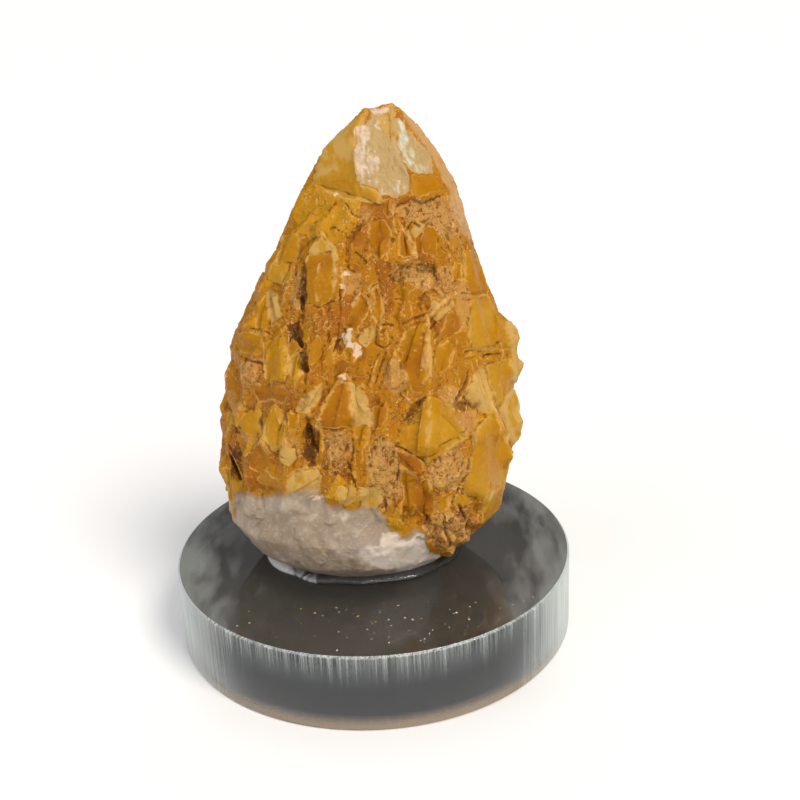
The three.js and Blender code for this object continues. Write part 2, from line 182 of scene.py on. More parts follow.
for name, (place, strength, width, code) in SUNS.items():
    sun_light = bpy.data.lights.new(name, "SUN")
    sun_light.energy = strength
    sun_light.angle = math.radians(width)
    sun_light.color = linear(code)[:3]
    sun = link_object(name, sun_light)
    sun.location = place
    sun.rotation_euler = (-Vector(place)).to_track_quat("-Z", "Y").to_euler()
print("lamps", sorted(SUNS))

# %% [markdown]
# ## The quartz: a merged copy of the CAD mesh
# The crystal grew as one piece with its larger points and ledges, and the CAD model holds it as one solid. A
# CAD node arrives as loose triangles, so a copy is merged at its doubles before anything is built on it.

# %% Merge the copy
quartz_form = bmesh.new()
quartz_form.from_mesh(crystal_node.data)
bmesh.ops.remove_doubles(quartz_form, verts=quartz_form.verts, dist=0.001 * MM)
quartz_form.normal_update()
print("quartz copy", len(quartz_form.verts), "corners", len(quartz_form.faces), "triangles")

# %% [markdown]
# ## Reading places off the photograph
# Cracks, stains and chips are seen in the photograph and belong in the same place on the stone. So every
# corner of the model is projected through the camera once, and a stain is then a patch in photo pixels that
# only reaches the corners that face the camera. It is stored on the mesh, so it stays put from any side.

# %% From the model to photo pixels
EYE = np.array(camera.location)
EYE_TURN = np.array(camera_turn.to_3x3())
FOCAL = LENS / SENSOR * PICTURE


def photo_pixels(points):
    """Where points of the model fall in the photograph, as two lists of pixels."""
    local = (points - EYE) @ EYE_TURN
    across = PICTURE / 2 - FOCAL * local[:, 0] / local[:, 2]
    down = PICTURE / 2 + FOCAL * local[:, 1] / local[:, 2]
    return across, down


def smooth_step(low, high, value):
    t = np.clip((value - low) / (high - low), 0, 1)
    return t * t * (3 - 2 * t)


def toward_eye(points, normals):
    """How squarely each place looks at the camera: 1 straight at it, 0 edge on."""
    to_eye = EYE - points
    to_eye /= np.linalg.norm(to_eye, axis=1)[:, None]
    return (to_eye * normals).sum(axis=1)


def facing(points, normals):
    """From 0 to 1, how surely a place is on the side that the photograph shows."""
    return smooth_step(-0.05, 0.15, toward_eye(points, normals))


def patches(u, v, rows, wobble=0.0):
    """How strongly each pixel place lies in one of the patches: centre, half width, half height, strength."""
    mask = np.zeros(len(u))
    for centre_u, centre_v, half_width, half_height, strength in rows:
        far = np.hypot((u - centre_u) / half_width, (v - centre_v) / half_height) + wobble
        mask = np.maximum(mask, strength * (1 - smooth_step(0.8, 1.15, far)))
    return mask


def line_gap(u, v, start, end):
    """How far each pixel place lies from the straight line between two pixels."""
    along_u = end[0] - start[0]
    along_v = end[1] - start[1]
    share = ((u - start[0]) * along_u + (v - start[1]) * along_v) / (along_u**2 + along_v**2)
    share = np.clip(share, 0, 1)
    return np.hypot(u - start[0] - share * along_u, v - start[1] - share * along_v)


def inside_by(u, v, outline):
    """How many pixels each place lies inside a closed outline. Below 0 is outside."""
    inside = np.zeros(len(u), bool)
    nearest = np.full(len(u), 1e9)
    for start, end in zip(outline, outline[1:] + outline[:1]):
        nearest = np.minimum(nearest, line_gap(u, v, start, end))
        if start[1] != end[1]:
            crosses = (start[1] > v) != (end[1] > v)
            inside ^= crosses & (u < (end[0] - start[0]) * (v - start[1]) / (end[1] - start[1]) + start[0])
    return np.where(inside, nearest, -nearest)


def walked(text):
    """Rows of a name and its places in photo pixels. A word with a comma is a place, any other a new row."""
    rows = []
    for word in text.split():
        if "," in word:
            rows[-1][1].append(tuple(float(part) for part in word.split(",")))
        else:
            rows.append((word, []))
    return rows


disc_middle = photo_pixels(np.array([[0, 0, 0.01]]))
print("the disc's middle falls on pixel", [round(float(pixels[0])) for pixels in disc_middle])

# %% Patches walked over the photograph
# A row is named for what the eye sees there. A patch is its place and half sizes in pixels and its strength,
# and a bulge of the right outline has mm for its strength. Four rows are lines or outlines: the upper edge of
# the milky foot from left to right, the blush band, and the two flakes of broken skin at the tip.
SPOTS = dict(walked("""
rough 428,215,34,18,1 452,235,16,30,0.9 410,272,26,14,1 322,322,16,16,0.8 250,375,14,16,0.8
    380,300,14,22,0.6 384,468,18,32,1 450,470,24,26,0.9 465,400,14,10,0.9 335,455,18,26,0.9
    350,300,12,30,0.4 352,220,12,18,0.5 325,215,22,18,0.25 452,525,28,28,1 385,500,18,14,0.7
    395,375,14,22,0.5 445,380,14,26,0.4 290,310,12,34,0.7 255,420,14,10,0.3 405,410,16,18,0.8
    448,285,12,26,0.7 372,258,10,14,0.6
filled 424,267,30,13,1
bulges 514,367,13,13,1.3 526,414,13,13,-0.9
flank 482,325,30,55,1
foot_edge 222,514 235,514 240,492 261,496 283,494 323,494 331,505 346,508 369,508 379,510 386,520 392,533
    402,537 411,534 416,528 424,534 427,548 436,555 448,564 470,568 520,560
brown 372,235,16,22,0.9 386,290,9,36,1 407,246,7,14,0.8 424,243,9,18,1 356,310,14,20,0.9 420,355,12,34,0.7
    444,322,12,16,1 430,297,9,10,1 411,465,15,14,1 418,497,18,22,1 270,395,18,12,0.8 262,470,14,20,0.7
    260,350,6,18,0.7 335,320,18,14,0.6 338,455,16,22,0.6 318,360,8,24,0.5 352,370,18,18,0.4
    375,410,10,18,0.7 232,440,8,10,0.6 470,530,16,16,0.6 435,515,14,14,0.6 425,186,20,12,0.5
    385,215,12,16,0.7 372,190,10,8,0.4 343,400,18,26,0.35
dark 303,285,4,26,0.9 296,333,8,10,1 305,358,3,16,0.8 310,442,9,24,1 236,462,6,18,1 243,495,5,4,0.8
    414,412,8,16,0.55 466,406,8,6,0.6 402,266,9,6,0.7 428,268,10,7,0.8 437,278,5,8,0.6 330,160,4,6,0.7
    425,203,26,4,0.5 339,345,3,10,0.8 227,406,3,6,0.7 236,430,5,5,0.6 353,480,5,10,0.7 385,507,5,5,0.7
    404,515,5,8,0.7 428,520,4,8,0.7 463,515,6,6,0.7 350,250,3,14,0.5 310,238,10,4,0.5 300,395,6,12,0.5
    378,335,3,12,0.6 420,482,7,9,0.5 318,420,6,10,0.5 263,503,2,10,0.7 400,475,2,8,0.6 460,490,2,8,0.6
    290,557,3,2,0.8 276,527,2,2,0.7
tan 274,303,5,18,0.5 438,308,10,6,0.6 358,405,7,22,0.3 420,280,14,8,0.9 303,485,20,12,0.45
    292,445,10,10,0.5 384,468,18,30,1 385,490,18,14,0.9 448,470,20,22,0.9 448,215,16,22,1
    420,212,24,10,0.9 240,405,6,4,0.6 250,440,14,5,0.5 249,372,10,14,0.9 395,375,12,18,0.7
    445,285,12,20,0.7 464,302,8,26,0.9 468,420,12,12,0.9 340,448,14,18,0.6 436,530,10,12,0.9
    446,531,24,17,1 450,395,12,10,0.6 297,290,6,22,0.7 352,284,10,14,0.5 232,400,6,10,0.7
    362,215,10,10,0.5
white 348,337,5,9,1 352,345,6,5,1 358,349,4,7,1 346,274,4,3,1 342,286,3,4,0.8 342,377,5,6,1 315,496,8,3,1
    335,195,2,3,0.8 223,386,3,12,0.9 401,555,5,4,0.8 392,541,12,9,0.6 341,243,2,3,0.6
foot_pale 408,556,50,16,1 440,556,24,24,1 392,541,14,10,0.9 345,525,22,14,0.4 424,540,10,8,0.7
    318,520,16,10,0.3
yellow 340,165,18,26,0.9 320,215,22,24,0.7 443,438,9,18,1 495,440,26,50,0.6 232,490,10,24,0.6
    253,425,14,18,0.6 282,430,18,26,0.5 345,495,14,12,0.7 398,525,16,10,1 300,480,18,12,0.5
    320,260,16,28,0.35 270,260,20,30,0.4 480,330,22,34,0.4 262,310,10,20,0.3 445,500,10,10,0.5
    512,350,12,34,0.4 275,440,10,24,0.3
yellow_shoulder 328,212,34,30,1
blush_band 396,98 430,122 446,146 456,170 466,190 474,215 480,240 464,240 454,215 447,190 440,175 432,158
    418,136 404,118
pink_chalk 364,134,8,9,1 363,158,9,26,0.85 373,168,8,20,0.65 378,110,9,4,1 377,124,3,8,0.8 385,192,6,4,0.7
    398,187,6,8,0.6 406,183,3,8,0.5
green_chalk 402,124,4,6,0.9 403,141,6,14,1 409,158,7,12,0.8 418,168,10,6,0.6
pink_flake 369,118 374,110 385,107 380,119 378,128 384,136 389,140 392,132 396,141 399,148 402,159 407,171
    410,180 411,187 407,193 394,199 387,194 380,195 378,190 364,184 358,185 356,180 354,159 357,136
    364,127
green_flake 395,118 400,119 407,128 415,136 424,147 430,155 432,164 434,173 426,174 415,173 408,168 403,159
    400,148 398,135 394,124
"""))
print("patches", {name: len(rows) for name, rows in SPOTS.items()})

# %% Where the surface is rough
face_places = np.array([f.calc_center_median() for f in quartz_form.faces])
face_normals = np.array([f.normal for f in quartz_form.faces])
face_u, face_v = photo_pixels(face_places)
face_facing = facing(face_places, face_normals)
face_rough = patches(face_u, face_v, SPOTS["rough"]) * face_facing
print("rough share of the faces", round(float((face_rough > 0.4).mean()), 3))

# %% [markdown]
# ## Small points
# Between the large faces the real stone is crowded with points of one to two millimetres, all growing up
# along the same axis. They are six-sided shafts with six-sided tips, sunk into the surface so that little
# more than their tips stand clear. The remesh after this joins them to the stone, so they may overlap.

# %% Scatter the small points
# How readily a place takes a point: on rough parts of the front, on the sides, whose outline is smooth in
# the photograph, and on the back.
ON_ROUGH = 0.25
ON_SIDES = 0.06
ON_BACK = 0.5
FACES_UP = 0.7
FACES_SIDE = 0.6
FACES_EDGE = 0.35
FOOT_TOP = 20 * MM
TIP_FOOT = 50 * MM
SMALL_POINTS = 240
chance = random.Random(23)


def small_point(form, place, axis, width, turn):
    """One quartz point: a six-sided shaft under a six-sided tip whose top sits a little off the middle."""
    stand = Matrix.Translation(place) @ axis.to_track_quat("Z", "X").to_matrix().to_4x4()
    stand = stand @ Matrix.Rotation(turn, 4, "Z") @ Matrix.Diagonal((1.0, 0.75, 1.0, 1.0))
    skew = Matrix.Shear("XY", 4, (chance.uniform(-0.3, 0.3), chance.uniform(-0.2, 0.2)))
    radius = width / 2
    cap = radius * 1.4
    length = width * 1.6
    shaft = stand @ Matrix.Translation((0, 0, -length / 2 - cap + 0.02 * MM))
    tip = stand @ Matrix.Translation((0, 0, -cap / 2)) @ skew
    for top, depth, matrix in ((radius, length, shaft), (0, cap, tip)):
        bmesh.ops.create_cone(
            form, cap_ends=True, segments=6, radius1=radius, radius2=top, depth=depth, matrix=matrix
        )


corners = [[v.co.copy() for v in f.verts] for f in quartz_form.faces]
normals = [f.normal.copy() for f in quartz_form.faces]
areas = [f.calc_area() for f in quartz_form.faces]
points_made = 0
for index in chance.choices(range(len(areas)), weights=areas, k=SMALL_POINTS * 8):
    if points_made == SMALL_POINTS:
        break
    a, b, c = corners[index]
    share = sorted((chance.random(), chance.random()))
    place = a * share[0] + b * (share[1] - share[0]) + c * (1 - share[1])
    normal = normals[index]
    out_of_sight = ON_SIDES if abs(normal.x) > FACES_SIDE else ON_BACK
    wanted = face_rough[index] * ON_ROUGH if face_facing[index] > 0.1 else out_of_sight
    if normal.z > FACES_UP or not FOOT_TOP < place.z < TIP_FOOT or chance.random() > wanted:
        continue
    thinner = 0.8 if abs(normal.y) < FACES_EDGE else 1.0
    width = (0.8 + 1.3 * chance.random() ** 2) * thinner * MM
    axis = (Vector((0.05, 0, 1)) + normal * chance.uniform(0.0, 0.18)).normalized()
    sunk = width * chance.uniform(0.22, 0.42)
    small_point(quartz_form, place + axis * width * 0.5 - normal * sunk, axis, width, chance.random() * 6)
    points_made += 1
print("small points", points_made)

# %% [markdown]
# ## Flat faces
# Each flat face of the crystal holds its own depth of iron stain, which is what makes the points stand apart
# in the photograph. The flat faces are found by walking from triangle to triangle over edges that hardly
# bend. Each gets a tone by seeded chance, and its middle and area are kept, so stains can follow whole faces.

# %% Find the flat faces
FLAT_BEND = math.radians(2.5)


def face_groups(form, joined):
    """The faces in groups, each walked from face to face while the test lets it, and each face's group."""
    group_of = [None] * len(form.faces)
    groups = []
    for start in form.faces:
        if group_of[start.index] is not None:
            continue
        group_of[start.index] = len(groups)
        reached = [start]
        members = []
        while reached:
            face = reached.pop()
            members.append(face)
            for edge in face.edges:
                for other in edge.link_faces:
                    if group_of[other.index] is None and joined(face, other):
                        group_of[other.index] = len(groups)
                        reached.append(other)
        groups.append(members)
    return groups, group_of


def hardly_bends(face, other):
    return face.normal.angle(other.normal, 4.0) < FLAT_BEND


quartz_form.faces.ensure_lookup_table()
quartz_form.normal_update()
flat_faces, face_of = face_groups(quartz_form, hardly_bends)
flat_tones = []
flat_middles = []
flat_areas = []
for members in flat_faces:
    total = sum(face.calc_area() for face in members)
    middle = sum((face.calc_center_median() * face.calc_area() for face in members), Vector())
    flat_tones.append(chance.random())
    flat_areas.append(total)
    flat_middles.append(middle / total if total > 0 else members[0].calc_center_median())
flat_tree = BVHTree.FromBMesh(quartz_form)
print("flat faces", len(flat_tones))

# %% [markdown]
# ## One fine skin
# Detail under a millimetre needs small, even faces. The Remesh modifier lays a fresh skin over the stone and
# its small points at once, which is simpler and safer than hundreds of Boolean cuts. Edges come out slightly
# soft, as on a real crystal that iron oxide has coated.

# %% Remesh
SKIN = 0.18 * MM
dense_mesh = modified(mesh_from(quartz_form, "quartz_blank"), "REMESH", mode="VOXEL", voxel_size=SKIN)
print("fresh skin", len(dense_mesh.vertices), "corners", len(dense_mesh.polygons), "faces")

# %% [markdown]
# ## Relief
# The skin is pushed in and out along its normals. Broken and half-grown quartz isn't lumpy like clay: it is
# made of tiny flat faces. So space is split in cells around seeded random points, taller than wide as the
# crystal grows, and each cell tilts and lifts its bit of skin as one small plane. Coarse cells shape the
# faces, fine ones the crust. Noise adds the grain, and level steps are the growth lines of the right flank.

# %% Read the skin
def read(items, name, width, kind=float):
    """One property of all corners or edges, as rows of this width."""
    values = np.zeros(len(items) * width, kind)
    items.foreach_get(name, values)
    return values.reshape(-1, width)


places = read(dense_mesh.vertices, "co", 3)
outward = read(dense_mesh.vertices, "normal", 3)
pairs = read(dense_mesh.edges, "vertices", 2, np.int64)
count = len(places)
neighbours = np.bincount(pairs.ravel(), minlength=count)
seen_share = facing(places, outward)
unseen = 1 - seen_share
height_mm = places[:, 2] / MM


def set_skin():
    """Moves the skin's corners to their new places, and gives its fresh normals."""
    dense_mesh.vertices.foreach_set("co", places.ravel())
    dense_mesh.update()
    return read(dense_mesh.vertices, "normal", 3)


def averaged(values, rounds):
    """Values at the skin's corners, each replaced by the mean of its neighbours, this many times."""
    values = values.astype(float).copy()
    for _ in range(rounds):
        total = np.bincount(pairs[:, 0], values[pairs[:, 1]], count)
        total += np.bincount(pairs[:, 1], values[pairs[:, 0]], count)
        values = total / neighbours
    return values


def smoothed_places(rounds):
    return np.stack([averaged(places[:, axis], rounds) for axis in range(3)], axis=1)


def field(size, seed):
    """Smooth noise over the skin, about -1 to 1, with lumps of this size in metres."""
    shift = Vector((seed * 7.3, seed * 3.1, seed * 5.7))
    return np.array([noise.noise(Vector(p) / size + shift) for p in places]) * 1.6


print("skin corners seen from the front", round(float(seen_share.mean()), 3))

# %% Mend the outline and one slot
# The right outline of the photograph stands out in one spot and in at another. One slot of the solid, high
# on the right, is rough crust in the photograph, so its skin is smoothed over.
SLOT_ROUNDS = 70
u, v = photo_pixels(places)
for centre_u, centre_v, half_width, half_height, bulge in SPOTS["bulges"]:
    far = np.hypot((u - centre_u) / half_width, (v - centre_v) / half_height)
    places[:, 0] += bulge * MM * np.exp(-(far**2)) * smooth_step(8 * MM, 13 * MM, places[:, 0])
u, v = photo_pixels(places)
filled = patches(u, v, SPOTS["filled"]) * (seen_share > 0.05) * (places[:, 1] < 0)
places += (smoothed_places(SLOT_ROUNDS) - places) * filled[:, None]
print("corners smoothed over in the slot", int((filled > 0.5).sum()))

# %% Noise over the skin
broad = field(5 * MM, 1)
medium = field(1.7 * MM, 2)
fine = field(0.6 * MM, 3)
u, v = photo_pixels(places)
u_rough = u + 2.0 * medium + 1.0 * fine
v_rough = v + 2.5 * medium + 1.2 * fine
u_edge = u + 0.7 * fine + 0.8 * medium
v_edge = v + 0.7 * fine - 0.8 * medium
print("noise ranges", [round(float(np.ptp(f)), 2) for f in (broad, medium, fine)])

# %% [markdown]
# ## The smooth faces
# What makes this stone look like quartz are its smooth honey-coloured faces, set in rough crust like panes in
# a frame. Each is walked in photo pixels, and named for its stain. The skin inside an outline is laid flat on
# the plane that fits it best and stands a little proud, so every pane has a crisp edge of its own.

# %% Outlines of the smooth faces
STAINS = {"brown": 0.0, "orange": 0.2, "amber": 0.4, "gold": 0.6, "honey": 0.72, "straw": 0.85, "cream": 1.0}
FACES = []
# The tip and the upper part
FACES += walked("""
honey 369,108 364,127 357,137 354,144 354,159 356,180 359,186 365,186 378,192 382,196 383,205 364,202
    344,198 334,194 318,187 312,184 316,170 320,157 328,145 348,125
straw 385,107 391,104 396,108 395,120 398,135 394,140 389,142 384,136 378,128 380,119
amber 411,175 437,176 442,180 444,189 432,193 420,197 411,196 412,187
orange 385,199 395,200 394,209 388,219 383,214 384,206
orange 401,227 408,235 415,243 415,256 403,257 398,254 399,240
orange 432,226 437,233 437,256 423,253 421,239 425,228
cream 419,221 425,224 422,231 415,238 411,233 414,227
amber 455,262 462,264 461,280 452,281 452,270
orange 369,222 384,220 392,230 390,250 378,262 370,250 367,236
""")
# The left half, above the middle
FACES += walked("""
straw 320,238 327,242 331,251 320,253 308,254 313,243
amber 331,254 333,266 331,280 335,290 330,301 321,305 308,304 307,294 305,277 303,263 308,256 320,254
cream 328,239 335,247 338,258 336,269 332,283 333,266 332,254 329,246
gold 283,236 300,232 300,250 296,262 286,261 276,262
gold 272,264 288,263 291,273 289,281 282,284 271,281 268,274
amber 266,294 268,305 270,324 267,330 254,329 257,315 260,303
straw 266,289 276,292 280,305 283,317 272,323 269,310 267,298
amber 270,328 283,325 285,332 275,339 271,337
amber 239,333 252,331 263,334 263,352 256,356 240,352 236,343
gold 265,341 276,340 286,336 288,352 288,372 284,382 268,380 266,360
gold 290,357 297,352 305,349 306,368 295,386 289,374
orange 256,382 270,386 284,384 290,392 284,404 272,400 258,404 254,394
""")
# The middle
FACES += walked("""
amber 318,336 321,338 321,357 312,365 309,357 311,344
orange 359,296 364,301 370,308 368,315 362,323 357,333 346,327 342,324 350,314 353,303
straw 373,323 376,335 367,347 358,340 363,330
amber 344,349 358,356 353,363 344,361
orange 370,289 376,287 381,296 383,310 381,324 377,326 373,306
amber 429,323 411,327 403,335 399,347 394,353 400,364 410,360 420,345
orange 429,323 420,345 410,360 402,367 406,375 410,391 424,394 427,380 428,357 431,332
orange 454,310 461,326 460,332 447,334 435,345 435,340 443,328 447,315
amber 435,348 452,340 455,351 447,371 435,374
orange 429,296 436,293 447,299 445,303 439,299 434,297 431,301
straw 431,304 434,299 439,303 439,307 434,312 430,309
cream 429,345 432,346 432,360 432,376 429,376 429,360
cream 434,318 445,308 453,301 455,305 446,313 437,322
""")
# The right flank
FACES += walked("""
amber 463,250 474,252 482,270 489,290 487,295 470,294 464,284 464,268
gold 470,295 488,296 500,318 508,335 512,348 495,350 474,351 468,335 470,312
straw 505,320 515,314 530,328 534,372 516,389 510,376 512,352 507,336
cream 483,366 488,384 495,405 495,411 482,413 475,404 466,398 472,378 475,372
gold 484,366 500,362 510,358 512,375 512,388 506,398 500,403 497,408 490,384
straw 500,404 512,389 524,384 540,410 534,440 521,460 508,435 498,411
gold 482,422 495,412 505,435 517,462 512,475 490,490 480,500 463,492 468,470 474,445 472,432
gold 485,497 512,476 516,470 508,495 503,508 492,520 483,530 482,510
straw 480,531 492,521 500,512 492,528 480,543 470,550 470,540
""")
# The lower middle
FACES += walked("""
gold 429,395 424,404 412,420 400,432 396,440 410,451 425,461 428,440 429,418
gold 430,395 442,399 454,408 458,425 469,437 449,450 427,462 429,431
brown 396,451 411,453 424,464 422,474 411,472 400,464
orange 400,469 416,477 415,492 415,513 407,515 403,492
brown 419,482 429,478 436,502 434,515 421,514 411,500 415,492
amber 437,497 452,494 449,508 437,515
gold 456,495 466,494 470,502 462,509 454,505
orange 337,382 346,383 349,392 351,408 353,427 334,428 316,426 321,410 329,395
straw 347,381 358,387 367,398 371,412 369,426 354,427 352,409 350,392
straw 322,382 321,395 316,405 307,414 294,411 300,400 312,387
orange 373,406 389,406 385,426 373,430
amber 354,428 370,427 371,437 364,449 358,449
orange 354,450 364,450 363,465 356,467
amber 316,428 322,429 324,455 321,470 317,462 314,446
straw 357,487 381,487 383,500 376,509 362,506
straw 338,486 351,485 358,498 346,507 337,499
""")
# The lower left
FACES += walked("""
gold 275,403 283,410 285,426 283,444 275,453 269,444 261,435 265,418 269,408
gold 251,410 260,412 262,420 260,433 251,436 242,432 240,422 244,414
amber 287,413 298,414 300,428 289,429
straw 289,475 295,471 317,468 322,480 322,490 314,493 284,493 287,481
straw 279,453 286,446 296,449 297,458 289,466 281,462
orange 258,444 268,453 270,465 262,472 250,468 247,460 252,452
amber 271,463 277,465 275,476 280,489 262,484 256,480 262,474
gold 223,467 236,470 242,483 241,501 235,513 227,506 225,489
gold 228,412 238,414 238,424 230,432 224,424
""")
print("smooth faces", len(FACES))

# %% Lay the smooth faces flat
# A face keeps its slope where the skin is seen edge on, so the outline stays as it is. Toward its own edge,
# over this many pixels, a face grows paler.
EDGE_REACH = 4.0
FLATTEN = 0.95
MOST_SHIFT = 0.5 * MM
PROUD = 0.12 * MM
PALER_EDGE = 0.15
FEWEST_CORNERS = 20
well_seen = smooth_step(0.1, 0.45, toward_eye(places, outward))
face_depth = np.full(count, -EDGE_REACH)
stain = np.full(count, STAINS["gold"])
for stain_name, outline in FACES:
    us, vs = zip(*outline)
    near_u = (u > min(us) - EDGE_REACH) & (u < max(us) + EDGE_REACH)
    near_v = (v > min(vs) - EDGE_REACH) & (v < max(vs) + EDGE_REACH)
    near = np.flatnonzero(near_u & near_v & (seen_share > 0.05))
    depth = inside_by(u_edge[near], v_edge[near], outline)
    closer = depth > face_depth[near]
    stain[near[closer]] = STAINS[stain_name]
    face_depth[near[closer]] = depth[closer]
    within = near[depth > 0]
    if len(within) < FEWEST_CORNERS:
        print("no skin for the face at", outline[0], len(within))
        continue
    share = smooth_step(0, 1.5, depth[depth > 0]) * well_seen[within]
    spread = places[within] - np.median(places[within], axis=0)
    plane_normal = np.linalg.svd(spread, full_matrices=False)[2][2]
    plane_normal *= np.sign(plane_normal @ outward[within].sum(axis=0))
    off = spread @ plane_normal
    shift = np.clip((np.median(off) - off) * FLATTEN, -MOST_SHIFT, MOST_SHIFT) + PROUD
    places[within] += (shift * share)[:, None] * plane_normal
sheer = smooth_step(-0.5, 0.8, face_depth)
outward = set_skin()
print("share of the skin in smooth faces", round(float((sheer > 0.5).mean()), 3))

# %% Cells of small flat faces
# Cells are taller than wide, and their borders waver a little. A cell's push is its tilt and its lift in
# these shares, and its seam is this wide, as a share of the cell's size.
TALLER = np.array([1.0, 1.0, 0.6])
WAVER = 0.12
TILT_SHARE = 0.8
LIFT_SHARE = 0.5
SEAM_WIDTH = 0.22


def cells(size, seed):
    """Tilted planes in random cells. Gives the push, each cell's own tone, and how near its seam is."""
    maker = np.random.default_rng(seed)
    low = places.min(axis=0) * TALLER - size
    high = places.max(axis=0) * TALLER + size
    number = int(np.prod((high - low) / size))
    middles = low + maker.random((number, 3)) * (high - low)
    tree = KDTree(number)
    for index, middle in enumerate(middles):
        tree.insert(middle, index)
    tree.balance()
    warped = places * TALLER + outward * (WAVER * size * medium)[:, None]
    nearest = np.zeros(count, np.int64)
    seam = np.zeros(count)
    for index, place in enumerate(warped):
        first, second = tree.find_n(place, 2)
        nearest[index] = first[1]
        seam[index] = second[2] - first[2]
    tilt = maker.normal(0, 1, (number, 3))
    lift = maker.normal(0, 1, number)
    tones = maker.random(number)
    slope = ((warped - middles[nearest]) * tilt[nearest]).sum(axis=1) / size
    push = slope * TILT_SHARE + lift[nearest] * LIFT_SHARE
    return push, tones[nearest], 1 - smooth_step(0.0, SEAM_WIDTH, seam / size)


coarse_push, coarse_tone, coarse_seam = cells(2.3 * MM, 31)
fine_push, fine_tone, fine_seam = cells(0.95 * MM, 32)
broad_push, broad_tone, broad_seam = cells(4.5 * MM, 33)
print("cell seams", round(float(coarse_seam.mean()), 3), round(float(fine_seam.mean()), 3))

# %% Smooth faces where the photograph doesn't reach
# The back and the far sides get smooth faces too: more than half of the broad cells, each with its own stain.
pane_chance = smooth_step(0.30, 0.32, broad_tone) * unseen
back_depth = EDGE_REACH * (2 * (0.75 - broad_seam) * pane_chance - 1)
face_depth = np.maximum(face_depth * seen_share - EDGE_REACH * unseen, back_depth)
stain = stain * seen_share + (0.25 + 0.55 * broad_tone) * unseen
stain += PALER_EDGE * (1 - smooth_step(0.0, EDGE_REACH, face_depth))
sheer = smooth_step(-0.5, 0.8, face_depth)
print("share of the whole skin in smooth faces", round(float((sheer > 0.5).mean()), 3))

# %% Places of the finishes
FOOT_HEIGHT_MM = 18.5
rough = patches(u, v, SPOTS["rough"], 0.28 * medium + 0.12 * fine) * seen_share
rough = np.maximum(rough, 0.3 * seen_share)
rough = np.maximum(rough, smooth_step(-0.1, 0.45, broad) * unseen * 0.8)
edge_v = np.interp(u, *zip(*SPOTS["foot_edge"]))
milky_front = smooth_step(-7, 5, v + 3.0 * medium + 2.0 * fine - edge_v)
milky_behind = 1 - smooth_step(-0.6, 0.6, height_mm - FOOT_HEIGHT_MM - 1.3 * medium - 0.9 * broad)
milky = np.where(places[:, 1] < -1 * MM, milky_front, milky_behind)
rough *= (1 - milky) * (1 - sheer)
flank = patches(u, v, SPOTS["flank"]) * seen_share * (1 - rough)
print("milky share", round(float(milky.mean()), 3), "rough share", round(float(rough.mean()), 3))

# %% [markdown]
# ## Cracks and seams
# The eye knows this stone by its lines: the long dark crevice on the left, the ledge on the right flank, the
# pale seams where two crystals meet. Each is walked in photo pixels. Dark cracks are cut in, and pale
# seams stand up a little. A row starts with the line's half width in pixels, a slash and its depth in mm.

# %% Lines drawn
CRACKS = walked("""
3.4/0.4 302,262 304,290 300,308 294,335 304,347 306,370
1.6/0.2 306,370 305,393
4.5/0.35 308,422 308,440 313,463
3/0.4 229,447 236,462 242,477
1.3/0.3 341,290 340,320 338,342 334,352
1.5/0.3 392,324 377,324 376,343 384,348 391,343
1.4/0.3 379,352 371,370 367,386
1.4/0.3 388,350 382,362 376,384
1.5/0.4 466,352 480,349 495,346 504,340
1.3/0.3 466,359 485,355 501,353
1.2/0.15 462,293 478,294 484,291
1.2/0.15 463,299 477,299
1.5/0.3 403,324 414,318 427,314
1.5/0.4 421,299 430,289 441,294
1.5/0.3 430,329 436,322 441,320
1.6/0.4 470,372 465,385 457,399
1.5/0.4 395,446 410,452 423,461
1.4/0.3 424,459 445,447 462,438 467,429
4/0.2 403,424 413,410 425,396
4.5/0.2 458,403 468,404 474,407
1.3/0.3 457,492 461,483 466,475
1.3/0.3 398,458 398,468 397,480
1.5/0.3 322,428 335,431 350,427 363,424
1.2/0.2 352,429 353,450 349,478
1.4/0.3 239,356 251,361 262,364
1.2/0.2 251,328 266,330 272,336
1.2/0.2 262,412 261,436
1.2/0.2 286,411 287,428
1.2/0.4 262,496 264,511
1.2/0.2 320,186 340,191 362,197 385,207
1.4/0.2 306,303 320,306 334,301
1.8/0.2 300,252 307,244 315,238
1.7/0.3 398,206 410,200 422,204 435,198 447,193
1.5/0.3 406,230 412,222 420,226
2.2/0.15 396,272 405,265 414,268 424,262 436,264
1.8/0.4 434,268 437,280
1.6/0.4 444,515 445,530 450,546
1.6/0.4 458,505 466,520 468,535
1.6/0.3 425,505 427,519
1.6/0.3 405,507 403,520
1.6/0.3 385,498 386,508
1.5/0.3 348,462 353,478 358,490
1.5/0.3 346,204 352,214 360,218
1.3/0.2 334,228 345,232 350,238
1.3/0.2 347,232 347,248
1.3/0.3 356,252 366,262
1.2/0.2 298,398 294,410 297,420
1.4/0.3 226,403 231,411
1.4/0.3 234,425 239,434
""")
